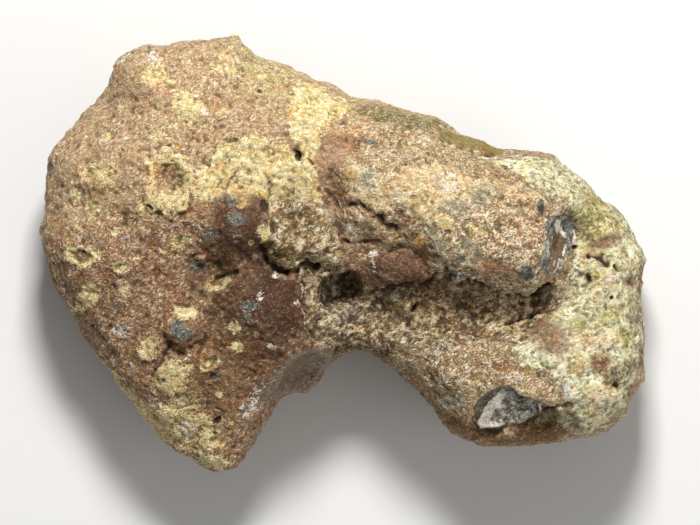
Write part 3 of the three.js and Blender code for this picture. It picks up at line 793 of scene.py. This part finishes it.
def stamp_spot(kind, radius, depth, rim, paint, rows):
    """Paints one round mark and returns how far it lifts each point."""
    whole = np.clip(1.15 - 0.8 * radius, 0.0, WHITE_SPOT if kind == "white" else 0.9)
    ring = np.clip(1.0 - 2.0 * np.abs(radius - 0.85), 0.0, 0.7)
    floor = np.clip(1.35 - 1.1 * radius, 0.0, 0.95)
    layers = {
        "crater": (("cream", ring),),
        "olive": (("cream", ring), ("olive", 0.6 * floor)),
        "hollow": (("olive", 0.5 * floor),),
        "lens": (("cream", 0.85 * floor), ("olive", 0.42 * floor)),
        # A pit's floor gets painted shade.
        "pit": (("dirt", floor),),
    }
    for layer, amount in layers.get(kind, ((kind, whole),)):
        paint[layer][rows] = np.maximum(paint[layer][rows], amount)
    dish = 1.0 - smooth(radius, 0.35, 1.0)
    lip = np.exp(-(((radius - 1.0) / 0.24) ** 2))
    return depth * dish + 1.5 * rim * lip


def stamp_spots(plan, points, upper, paint):
    """The round marks of the upper side, and marks of the same kinds scattered below."""
    lift = np.zeros(len(plan))
    for kind, place, half, turn, depth, rim in SPOTS:
        rows = near(plan, [place], 2.2 * max(half))
        rows = rows[upper[rows] > 0.3]
        radius = turned_radius(plan[rows], place, half, turn)
        radius = radius * (1.0 + 0.3 * cloud(points[rows], 1.1, 3, 3.0))
        lift[rows] += stamp_spot(kind, radius, depth, rim, paint, rows)
    draw = np.random.default_rng(11)
    lower = np.flatnonzero(upper < 0.2)
    lobe = np.flatnonzero((upper > 0.9) & (plan[:, 0] < LOBE_EDGE))
    for number in range(MARKS_BELOW + MARKS_ON_LOBE):
        small = number >= MARKS_BELOW
        centre = points[draw.choice(lobe if small else lower)]
        kind = ("cream", "slate", "white", "ochre" if small else "olive", "cream", "rust")[number % 6]
        size = draw.uniform(0.5, 1.7) if kind in ("cream", "olive") else draw.uniform(0.3, 0.8)
        size = SMALL_MARK * size if small else size
        offset = points - centre
        rows = np.flatnonzero((np.abs(offset) < 2.2 * size).all(axis=1) & ((upper < 0.6) | small))
        radius = np.linalg.norm(offset[rows], axis=1) / size
        radius = radius * (1.0 + 0.2 * cloud(points[rows], 0.9, 2, 3.0))
        lift[rows] += stamp_spot(kind, radius, -0.05 if small else -0.2 * size, 0.0, paint, rows)
    return lift


def cut_cracks(plan, points, upper, paint):
    """How far the cracks and creases sink each point; shade is painted along them too."""
    lift = np.zeros(len(plan))
    for _, line, half_width, depth in CRACKS:
        rows = near(plan, line, 4.0 * half_width)
        distance = line_distance(plan[rows], line)
        distance = distance * (1.0 + 0.6 * cloud(points[rows], 0.7, 2, 7.0))
        cut = np.exp(-((distance / half_width) ** 2)) * upper[rows]
        cut = cut * smooth(cloud(points[rows], 1.6, 2, 31.0), -0.7, 0.1)
        lift[rows] = np.minimum(lift[rows], -depth * cut)
        # Painted shade along each crack, darker the deeper the crack.
        paint["dirt"][rows] = np.maximum(paint["dirt"][rows], 0.7 * cut * min(1.0, 1.5 * depth))
    return lift


def scatter_below(points, upper, paint):
    """Kinds of surface on the underside and the lower flanks, in patches from noise."""
    lower = 1.0 - upper
    for kind, size, reach, shift in (
        ("crust", 9.0, 0.22, 21.0), ("chocolate", 11.0, 0.16, 42.0), ("end", 12.0, 0.24, 63.0),
        ("moss", 8.0, 0.34, 84.0), ("crumb", 7.0, 0.36, 105.0), ("umber", 10.0, 0.2, 126.0),
    ):
        amount = 0.5 + (cloud(points, size, 4, shift) - reach) * 2.2
        paint[kind] = np.maximum(paint[kind], np.clip(amount, 0.0, 1.0) * lower)


def carve(piece):
    """Carves the stone's points and returns the kinds of surface painted on them."""
    shape = bpy.context.scene.agate_shape
    mesh = piece.data
    points = read_points(mesh)
    normals = read_normals(mesh)
    upper = smooth(points[:, 2], shape.upper_from / MM, shape.upper_to / MM)
    upper = upper * smooth(normals[:, 2], -0.35, 0.0)
    bend = np.stack((cloud(points, 2.6, 3, 1.0), cloud(points, 2.6, 3, 9.0)), axis=1)
    fray = np.stack((cloud(points, 0.8, 2, 4.0), cloud(points, 0.8, 2, 6.0)), axis=1)
    warp = 0.7 * bend + 0.2 * fray
    paint = {look[0]: np.zeros(len(points)) for look in LOOKS}
    scatter_below(points, upper, paint)
    paint_outlines(points[:, :2], warp, upper, paint)
    plan = points[:, :2] + 0.12 * bend + 0.06 * fray
    lift = stamp_spots(plan, points, upper, paint)
    for _, place, half, turn, height in SWELLINGS:
        lift = lift + height * np.exp(-(turned_radius(plan, place, half, turn) ** 2)) * upper
    lift = lift + cut_cracks(plan, points, upper, paint)
    draw_lines(plan, paint)
    bare = 1.0 - np.maximum(paint["chip"], 0.6 * paint["translucent"])
    crusted = smooth(paint["crust"] + 0.25 * cloud(points, 1.1, 3, 12.0), 0.15, 0.85)
    lift = add_coatings(lift, points, upper, paint, bare, crusted)
    points = set_facets(points, plan, upper)
    write_points(mesh, points + normals * lift[:, None])
    weigh_roughness(piece, paint, bare, crusted)
    return paint


def draw_lines(plan, paint):
    """Paints the pale edges, flakes and hair lines."""
    for kind, line, half_width in LINES:
        rows = near(plan, line, 4.0 * half_width)
        most = WHITE_LINE if kind == "white" else 1.0
        edge = np.clip(1.5 - line_distance(plan[rows], line) / half_width, 0.0, most)
        paint[kind][rows] = np.maximum(paint[kind][rows], edge)


def add_coatings(lift, points, upper, paint, bare, crusted):
    """Adds the crust, the coatings, the rind's unevenness and wrinkles, and the scars of the chips."""
    shape = bpy.context.scene.agate_shape
    lift = lift + crusted * shape.crust_rise / MM * (0.8 + 0.3 * cloud(points, 2.2, 3, 15.0))
    lift = lift + smooth(paint["end"], 0.3, 0.7) * shape.end_rise / MM
    lift = lift + shape.swell / MM * bare * (2.2 - 1.2 * upper) * cloud(points, 4.2, 4, 18.0)
    lift = lift + 0.5 * smooth(paint["ridge"], 0.3, 0.7) * shape.crust_rise / MM
    lift = lift - GROOVE_SINK * smooth(paint["crumb"], 0.3, 0.8)
    turned = points @ np.array(((1.0, 1.1, 0.0), (-0.5, 2.2, 0.0), (0.0, 0.0, 1.6)))
    lift = lift + shape.wrinkle / MM * bare * (0.4 - np.abs(cloud(turned, 2.4, 4, 27.0))) * 2.0
    return lift + paint["chip"] * (1.0 - 0.8 * paint["milk"]) * flake_scars(points)


def weigh_roughness(piece, paint, bare, crusted):
    """The vertex groups that say how much of each kind of roughness a point takes."""
    hard = np.maximum(paint["chocolate"], paint["tan"])
    broken = (crusted, 0.9 * paint["end"], 0.5 * paint["speckled"], 0.45 * paint["ridge"])
    crumbly = (paint["crumb"], 0.8 * paint["druse"], 0.6 * paint["gravel"])
    groups = {
        "lumps": bare * (1.0 - 0.3 * hard),
        "grain": bare * (1.0 - 0.3 * hard),
        "rough": np.maximum.reduce(broken) * bare,
        "crumbs": np.maximum.reduce(crumbly) * bare,
    }
    for name, weights in groups.items():
        weight_group(piece, name, weights)


def chip_softness(piece):
    """The share of the rounding that each point takes: little on the chips, whose edges are sharp."""
    points = read_points(piece.data)
    weights = np.ones(len(points))
    for name in ("edge chip", "end chip"):
        depth = inside_distance(points[:, :2], FIELDS[name])
        chipped = smooth(depth, -0.3, 0.4) * (points[:, 2] > RIM_HEIGHT)
        weights = np.minimum(weights, 1.0 - 0.8 * chipped)
    return weight_group(piece, "soft", weights)


def set_facets(points, plan, upper):
    """Brings the edge chip onto its flat faces, which meet in sharp lines."""
    rows = near(plan, FIELDS["edge chip"], 0.5)
    weight = smooth(inside_distance(plan[rows], FIELDS["edge chip"]), -0.12, 0.12) * upper[rows]
    height = np.full(len(rows), -1e9)
    for first, second, third in np.array(FACETS):
        slope = np.cross(second - first, third - first)
        face = first[2] - ((points[rows, :2] - first[:2]) @ slope[:2]) / slope[2]
        height = np.maximum(height, face)
    points = points.copy()
    points[rows, 2] += weight * (height - points[rows, 2])
    return points


def flake_scars(points):
    """Small tilted facets, as on broken glass: each cell of the stone has its own slope."""
    lift = np.zeros(len(points))
    chips = (np.abs(points[:, 2] - CHIP_MIDDLE) < CHIP_REACH) & (points[:, 0] > CHIP_SIDE)
    for row in np.flatnonzero(chips):
        place = Vector(points[row] * (0.62, 0.34, 0.45))
        centre = noise.voronoi(place)[1][0]
        tilt = noise.cell_vector(centre * 9.7)
        lift[row] = 0.45 * (place - centre).dot(tilt)
    return lift


def texture(kind, name, size, **settings):
    """A procedural texture for a Displace modifier, with lumps of a size in metres."""
    pattern = bpy.data.textures.new(name, kind)
    pattern.noise_scale = size
    for setting, value in settings.items():
        setattr(pattern, setting, value)
    return pattern


def roughen(piece):
    """Gives each kind of surface its own roughness."""
    shape = bpy.context.scene.agate_shape
    for group, pattern, height in (
        ("lumps", texture("CLOUDS", "Small lumps", 2.2 * MM, noise_depth=2), shape.lump * CLOUD_RANGE),
        ("rough", texture("CLOUDS", "Broken crust", 1.6 * MM, noise_depth=5), shape.rough * CLOUD_RANGE),
        ("crumbs", texture("CLOUDS", "Crumbs", 1.8 * MM, noise_depth=5), 0.5 * shape.crumb * CLOUD_RANGE),
        ("crumbs", texture("VORONOI", "Grains", 1.1 * MM, noise_intensity=0.6), -0.9 * shape.crumb),
        ("grain", texture("CLOUDS", "Grain", 0.5 * MM, noise_depth=2), shape.grain * CLOUD_RANGE),
    ):
        apply_modifier(
            piece, "DISPLACE", pattern.name, texture=pattern, texture_coords="LOCAL",
            vertex_group=group, strength=height, mid_level=0.5,
        )


def thin_out(piece):
    """Brings the stone under its most triangles, and keeps most of them for the upper side."""
    shape = bpy.context.scene.agate_shape
    mesh = piece.data
    points = read_points(mesh)
    points[:, 2] = np.maximum(points[:, 2], 0.0)
    write_points(mesh, points)
    for upper, most in ((False, shape.lower_triangles), (True, shape.upper_triangles)):
        select_faces(mesh, upper)
        chosen = sum(face.loop_total - 2 for face in mesh.polygons if face.select)
        bpy.ops.object.mode_set(mode="EDIT")
        bpy.ops.mesh.select_mode(type="FACE")
        bpy.ops.mesh.decimate(ratio=min(1.0, most / chosen))
        bpy.ops.object.mode_set(mode="OBJECT")
    piece.vertex_groups.clear()


def select_faces(mesh, upper):
    """Selects the faces above or below the rim, and nothing else."""
    centres = np.empty(len(mesh.polygons) * 3)
    mesh.polygons.foreach_get("center", centres)
    above = centres.reshape(-1, 3)[:, 2] > (RIM_HEIGHT - 2.5) * MM
    mesh.vertices.foreach_set("select", np.zeros(len(mesh.vertices), dtype=bool))
    mesh.edges.foreach_set("select", np.zeros(len(mesh.edges), dtype=bool))
    mesh.polygons.foreach_set("select", above if upper else ~above)


def carry_paint(piece, before, paint):
    """Writes the kinds of surface and the hollows on the finished points."""
    mesh = piece.data
    tree = KDTree(len(before))
    for number, place in enumerate(before.tolist()):
        tree.insert(place, number)
    tree.balance()
    points = read_points(mesh)
    nearest = np.array([tree.find(place)[1] for place in points.tolist()])
    normals = read_normals(mesh)
    edges = read_edges(mesh)
    layers = {kind: amount[nearest] for kind, amount in paint.items()}
    # Hollows of the finished mesh, which the rind's material darkens as painted shade.
    for name, rounds, scale in (("fine_hollow", 5, 0.09), ("broad_hollow", 40, 0.3)):
        depth = ((blurred(points, edges, rounds) - points) * normals).sum(axis=1)
        layers[name] = np.clip(0.5 + 0.5 * depth / scale, 0.0, 1.0)
    for name, values in layers.items():
        layer = mesh.attributes.new(name, "FLOAT", "POINT")
        layer.data.foreach_set("value", values.astype(np.float32))


def unwrap(piece):
    """Lays the upper and the lower half side by side on one map, and spreads the steep flanks."""
    mesh = piece.data
    points = read_points(mesh)
    normals = blurred(read_normals(mesh), read_edges(mesh), 30)
    flank = 4.0
    spread = points[:, :2] + flank * normals[:, :2]
    corner_point = np.empty(len(mesh.loops), dtype=np.int32)
    mesh.loops.foreach_get("vertex_index", corner_point)
    face_height = np.empty(len(mesh.polygons) * 3)
    mesh.polygons.foreach_get("center", face_height)
    upper_face = face_height.reshape(-1, 3)[:, 2] > RIM_HEIGHT * MM
    sides = np.empty(len(mesh.polygons), dtype=np.int32)
    mesh.polygons.foreach_get("loop_total", sides)
    upper_corner = np.repeat(upper_face, sides)[:, None]
    place = spread[corner_point]
    reach = np.abs(spread).max(axis=0) + 0.5
    upper_scale, lower_scale = 0.60 / (2 * reach[1]), 0.38 / (2 * reach[1])
    upper_place = (place + reach) * upper_scale + (0.01, 0.395)
    lower_place = (place * (-1, 1) + reach) * lower_scale + (0.01, 0.005)
    layer = mesh.uv_layers.new(name="OFBake")
    laid = np.where(upper_corner, upper_place, lower_place)
    layer.data.foreach_set("uv", laid.astype(np.float32).ravel())
    mesh.uv_layers.active = layer


class Recipe:
    """Adds nodes to a material, and links or fills their sockets."""

    def __init__(self, name):
        self.material = bpy.data.materials.new(name)
        self.material.use_nodes = True
        self.tree = self.material.node_tree
        self.shader = self.tree.nodes["Principled BSDF"]
        self.place = self.add("ShaderNodeTexCoord").outputs["Object"]

    def feed(self, socket, value):
        """Links a socket to another's output, or sets it to a value."""
        if isinstance(value, bpy.types.NodeSocket):
            self.tree.links.new(value, socket)
        else:
            socket.default_value = value

    def add(self, kind, sockets=(), **settings):
        """A node with its settings and its sockets, given as pairs."""
        made = self.tree.nodes.new(kind)
        made.location = (220 * (len(self.tree.nodes) % 12), -260 * (len(self.tree.nodes) // 12))
        for setting, value in settings.items():
            setattr(made, setting, value)
        for socket, value in sockets:
            self.feed(made.inputs[socket], value)
        return made

    def math(self, operation, first, second=0.0):
        """The result of one sum, kept between 0 and 1."""
        made = self.add("ShaderNodeMath", ((0, first), (1, second)), operation=operation, use_clamp=True)
        return made.outputs[0]

    def sum(self, first, factor, offset):
        """A value times a factor, plus an offset that may be a value too."""
        made = self.add("ShaderNodeMath", ((0, first), (1, factor), (2, offset)), operation="MULTIPLY_ADD")
        return made.outputs[0]

    def step(self, value, low, high):
        """0 below low, 1 above high, and a smooth step between them."""
        made = self.add(
            "ShaderNodeMapRange", (("Value", value), ("From Min", low), ("From Max", high)),
            interpolation_type="SMOOTHSTEP",
        )
        return made.outputs["Result"]

    def mix(self, amount, first, second, blend="MIX"):
        """One colour laid over another by an amount."""
        made = self.add(
            "ShaderNodeMix", ((0, amount), (6, first), (7, second)), data_type="RGBA", blend_type=blend,
        )
        return made.outputs[2]

    def mottling(self, size, detail=3.0, shift=0.0, roughness=0.5, stretch=1.0, kind="FBM"):
        """Noise with lumps of a size in millimetres, drawn out along the wrinkles by a stretch."""
        turn = (0.0, 0.0, math.radians(WRINKLE_TURN))
        place = self.add(
            "ShaderNodeMapping",
            ((0, self.place), (1, (shift * MM,) * 3), (2, turn), (3, (stretch, 1.0, 1.0))),
            vector_type="TEXTURE",
        ).outputs[0]
        made = self.add(
            "ShaderNodeTexNoise",
            (("Vector", place), ("Scale", 1.0 / (size * MM)), ("Detail", detail), ("Roughness", roughness)),
            noise_type=kind,
        )
        return made.outputs["Fac"]

    def grained(self, tone, rgb, palest, darkness, paleness, spread=1.0):
        """A colour with darker and paler grains, chosen by a tone of about 0 to 1."""
        pale = [middle + (light - middle) * paleness for middle, light in zip(rgb, palest)]
        made = self.add("ShaderNodeValToRGB", ((0, tone),))
        stops = made.color_ramp.elements
        stops[0].position = GRAIN_MIDDLE - 0.28 / spread
        stops[0].color = solid_colour([part * warm for part, warm in zip(rgb, DARK_WARMTH)], darkness)
        stops[1].position = GRAIN_MIDDLE + 0.42 / spread
        stops[1].color = solid_colour(pale)
        middle = stops.new(GRAIN_MIDDLE)
        middle.color = solid_colour(rgb)
        return made.outputs["Color"]

    def chunks(self, size):
        """Three random values, one set for each of many ragged chunks of a size in millimetres."""
        ruffle = self.add(
            "ShaderNodeTexNoise", (("Vector", self.place), ("Scale", 1.6 / (size * MM)), ("Detail", 3.0)),
        )
        ragged = self.add(
            "ShaderNodeVectorMath",
            ((0, ruffle.outputs["Color"]), (1, (1.5 * size * MM,) * 3), (2, self.place)),
            operation="MULTIPLY_ADD",
        )
        cells = self.add(
            "ShaderNodeTexVoronoi", (("Vector", ragged.outputs[0]), ("Scale", 1.0 / (size * MM))),
        )
        return self.add("ShaderNodeSeparateColor", ((0, cells.outputs["Color"]),)).outputs[:3]

    def layer(self, name):
        """One of the stone's painted layers."""
        return self.add("ShaderNodeAttribute", attribute_name=name).outputs["Fac"]


def solid_colour(rgb, factor=1.0):
    """A colour for a socket, darkened by a factor."""
    return (rgb[0] * factor, rgb[1] * factor, rgb[2] * factor, 1.0)


def frayed_covers(make, edge):
    """How much each kind of surface covers, with edges that a pattern frays."""
    covers = {}
    for kind, _, _, fray, blend, _ in LOOKS:
        amount = make.layer(kind)
        unsure = make.math("MULTIPLY", amount, make.math("SUBTRACT", 1.0, amount))
        frayed = make.sum(make.sum(edge, 8.0 * fray, -4.0 * fray), unsure, amount)
        covers[kind] = make.step(frayed, 0.5 - blend, 0.5 + blend)
    return covers


def tinted(make, surface, chunky, warmth, greyness, plain):
    """A surface with warmer and greyer chunks, and broader redder and yellower patches."""
    colours = bpy.context.scene.agate_colours
    for size, weight, random, tint in (
        (0.8, 0.6, warmth, colours.warm_tint), (0.9, 0.4, greyness, colours.grey_tint),
        (4.3, 0.8, 0.12, colours.blush_tint), (2.1, 0.7, 0.12, colours.straw_tint),
    ):
        drift = make.sum(make.mottling(size, 4.0, shift=20.0 * size, roughness=0.6), 2.0, -1.0)
        amount = make.step(make.sum(random, make.math("MULTIPLY", chunky, 0.3), drift), 0.05, 0.5)
        amount = make.math("MULTIPLY", amount, make.math("MULTIPLY", plain, weight))
        surface = make.mix(amount, surface, solid_colour(tint), "MULTIPLY")
    return surface


def rind_material():
    """The stone's surface: speckled rind with every other kind of surface laid over it, then painted shade in its
    hollows and crevices and painted glints.
    """
    colours = bpy.context.scene.agate_colours
    make = Recipe("weathered_rind")
    patches = make.mottling(3.4)
    mottle = make.mottling(1.1, shift=3.0)
    dabs = make.mottling(0.55, 4.0, shift=7.0, roughness=0.6, stretch=1.6)
    specks = make.mottling(0.13, 3.0, shift=5.0, roughness=0.6, stretch=1.5)
    crinkle = make.mottling(0.4, 3.0, shift=11.0, stretch=1.5, kind="RIDGED_MULTIFRACTAL")
    chunk, chunk_warmth, chunk_greyness = make.chunks(0.5)
    block = make.chunks(1.1)[0]
    fine_hollow = make.layer("fine_hollow")
    broad_hollow = make.layer("broad_hollow")

    edge = make.math("ADD", make.math("MULTIPLY", dabs, 0.5), make.math("MULTIPLY", specks, 0.5))
    covers = frayed_covers(make, edge)
    chunky = 0.25
    for kind in CHUNKY:
        chunky = make.math("ADD", covers[kind], chunky)
    crumbly = make.math("ADD", covers["crumb"], covers["gravel"])
    crumbly = make.math("ADD", crumbly, make.math("MULTIPLY", covers["end"], 0.7))

    tone = make.sum(make.sum(chunk, 1.0, -0.5), make.math("MULTIPLY", chunky, 0.36), 0.5)
    tone = make.sum(make.sum(block, 1.0, -0.5), make.math("MULTIPLY", crumbly, 0.5), tone)
    dab_weight = make.sum(chunky, 0.4, 0.25)
    # The fine_hollow term darkens the grains in the mesh's small hollows: painted shade.
    for pattern, middle, weight in (
        (dabs, 0.5, dab_weight), (specks, 0.5, 2.5), (crinkle, 0.25, 1.1), (mottle, 0.5, 0.3),
        (fine_hollow, 0.5, -0.35),
    ):
        tone = make.sum(make.sum(pattern, 1.0, -middle), weight, tone)
    rind = make.grained(tone, colours.rind, colours.speckle, 0.5, 0.5)
    stained = make.grained(tone, colours.stain, colours.speckle, 0.5, 0.4)
    surface = make.mix(make.step(patches, 0.46, 0.6), rind, stained)
    for kind, darkness, paleness, _, _, spread in LOOKS:
        look = make.grained(tone, getattr(colours, kind), colours.speckle, darkness, paleness, spread)
        surface = make.mix(covers[kind], surface, look)

    glass = covers["chip"]
    plain = make.math("SUBTRACT", 1.0, glass)
    surface = tinted(make, surface, chunky, chunk_warmth, chunk_greyness, plain)
    # Painted highlights: tiny glints, painted in the white grains' colour.
    painted_glint = make.math("MULTIPLY", make.step(specks, 0.67, 0.7), make.step(mottle, 0.48, 0.58))
    surface = make.mix(make.math("MULTIPLY", painted_glint, plain), surface, solid_colour(colours.white))
    # Painted shade: dark crevices between the crumbs, where the dabs are low.
    crumb_crevice_shade = make.math("MULTIPLY", crumbly, make.step(make.sum(dabs, -1.0, 1.0), 0.52, 0.6))
    surface = make.mix(make.math("MULTIPLY", crumb_crevice_shade, 0.7), surface, solid_colour(colours.dirt))
    # Painted shade: the mesh's small and broad hollows are darkened.
    shade = make.math("MULTIPLY", make.step(fine_hollow, 0.6, 1.0), 0.45)
    shade = make.math("ADD", shade, make.math("MULTIPLY", make.step(broad_hollow, 0.6, 1.0), 0.3))
    surface = make.mix(make.math("MULTIPLY", shade, plain), surface, solid_colour(colours.dirt))
    make.feed(make.shader.inputs["Base Color"], surface)

    smoother = make.math("MULTIPLY", make.math("ADD", covers["chocolate"], covers["dusky"]), 0.25)
    glassy = make.math("ADD", glass, make.math("MULTIPLY", covers["translucent"], 0.55))
    make.feed(make.shader.inputs["Roughness"], make.sum(make.math("ADD", glassy, smoother), -0.5, 0.66))
    make.feed(make.shader.inputs["Specular IOR Level"], make.sum(glassy, 0.45, 0.1))
    height = make.sum(crinkle, 0.6, make.sum(dabs, 0.3, make.math("MULTIPLY", specks, 0.3)))
    height = make.sum(chunk, make.math("MULTIPLY", chunky, 0.35), height)
    height = make.sum(block, make.math("MULTIPLY", crumbly, 0.5), height)
    height = make.math("MULTIPLY", height, make.sum(glassy, -0.85, 1.0))
    bump = make.add("ShaderNodeBump", (("Height", height), ("Strength", 1.0), ("Distance", 0.3 * MM)))
    make.feed(make.shader.inputs["Normal"], bump.outputs[0])
    return make.material


def floor_material():
    """A plain pale floor with a trace of unevenness."""
    stage = bpy.context.scene.agate_stage
    make = Recipe("pale_floor")
    cloudy = make.mottling(60.0, 2.0)
    tint = stage.floor_colour
    surface = make.mix(cloudy, solid_colour(tint, 0.97), solid_colour(tint))
    make.feed(make.shader.inputs["Base Color"], surface)
    make.shader.inputs["Roughness"].default_value = 0.9
    return make.material


class AGATE_OT_stone(bpy.types.Operator):
    """Carve, roughen and paint the stone round its solid"""

    bl_idname = "agate.stone"
    bl_label = "Carve the stone"

    def execute(self, context):
        shape = context.scene.agate_shape
        piece = copy_of_solid()
        apply_modifier(piece, "REMESH", "Fine mesh", mode="VOXEL", voxel_size=shape.grid, adaptivity=0.0)
        chips = chip_softness(piece)
        apply_modifier(
            piece, "SMOOTH", "Round off", factor=0.5, iterations=shape.rounding, vertex_group=chips,
        )
        piece.vertex_groups.clear()
        paint = carve(piece)
        roughen(piece)
        before = read_points(piece.data)
        thin_out(piece)
        carry_paint(piece, before, paint)
        unwrap(piece)
        bpy.ops.object.shade_smooth()
        piece.data.materials.append(rind_material())
        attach(piece, "root")
        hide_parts(NODE)
        return {"FINISHED"}


class AGATE_OT_stage(bpy.types.Operator):
    """Lay the floor, set the lights and aim the camera"""

    bl_idname = "agate.stage"
    bl_label = "Set the stage"

    def execute(self, context):
        scene = context.scene
        stage = scene.agate_stage
        bpy.ops.object.select_all(action="DESELECT")
        bpy.ops.mesh.primitive_plane_add(size=stage.floor_size, location=(0, 0, 0))
        floor = context.view_layer.objects.active
        floor.name = "floor"
        floor.data.materials.append(floor_material())
        lamp("key", stage.key_place, stage.key_size, stage.key_power)
        lamp("side", stage.side_place, stage.side_size, stage.side_share * stage.key_power)
        sky = bpy.data.worlds.new("studio")
        sky.use_nodes = True
        sky.node_tree.nodes["Background"].inputs["Color"].default_value = (1.0, 1.0, 1.0, 1.0)
        sky.node_tree.nodes["Background"].inputs["Strength"].default_value = stage.sky_power
        scene.world = sky
        scene.view_settings.view_transform = "Standard"
        sensor = 36.0
        away = stage.frame_width * stage.lens / sensor
        bpy.ops.object.camera_add(rotation=(0, 0, 0))
        camera = context.view_layer.objects.active
        camera.name = "camera"
        camera.data.lens = stage.lens
        camera.data.sensor_width = sensor
        camera.location = Vector(stage.view_centre) + Vector((0, 0, away))
        camera.data.clip_end = 10.0
        scene.camera = camera
        return {"FINISHED"}


def lamp(name, place, size, power):
    """A soft square lamp aimed at the stone."""
    bpy.ops.object.light_add(type="AREA", location=place)
    light = bpy.context.view_layer.objects.active
    light.name = name
    light.data.size = size
    light.data.energy = power
    ray = Vector((0, 0, RIM_HEIGHT * MM)) - Vector(place)
    light.rotation_euler = ray.to_track_quat("-Z", "Y").to_euler()


class AGATE_PT_panel(bpy.types.Panel):
    """Lists the steps and their settings"""

    bl_idname = "AGATE_PT_panel"
    bl_label = "Agate nodule"
    bl_space_type = "VIEW_3D"
    bl_region_type = "UI"
    bl_category = "Agate"

    def draw(self, context):
        layout = self.layout
        for operator in OPERATORS:
            layout.operator(operator.bl_idname)
        for settings in (context.scene.agate_shape, context.scene.agate_colours, context.scene.agate_stage):
            box = layout.box()
            for name in settings.__annotations__:
                box.prop(settings, name)


OPERATORS = (AGATE_OT_stone, AGATE_OT_stage)
CLASSES = (AgateShape, AgateColours, AgateStage, *OPERATORS, AGATE_PT_panel)


def register():
    """Registers the add-on's classes and hangs its settings on the scene."""
    for kind in CLASSES:
        bpy.utils.register_class(kind)
    bpy.types.Scene.agate_shape = PointerProperty(type=AgateShape)
    bpy.types.Scene.agate_colours = PointerProperty(type=AgateColours)
    bpy.types.Scene.agate_stage = PointerProperty(type=AgateStage)


def unregister():
    """Takes the settings and the classes away again."""
    del bpy.types.Scene.agate_stage
    del bpy.types.Scene.agate_colours
    del bpy.types.Scene.agate_shape
    for kind in reversed(CLASSES):
        bpy.utils.unregister_class(kind)


def main():
    """Makes the stone and the stage."""
    register()
    bpy.ops.agate.stone()
    bpy.ops.agate.stage()


if __name__ == "__main__":
    main()
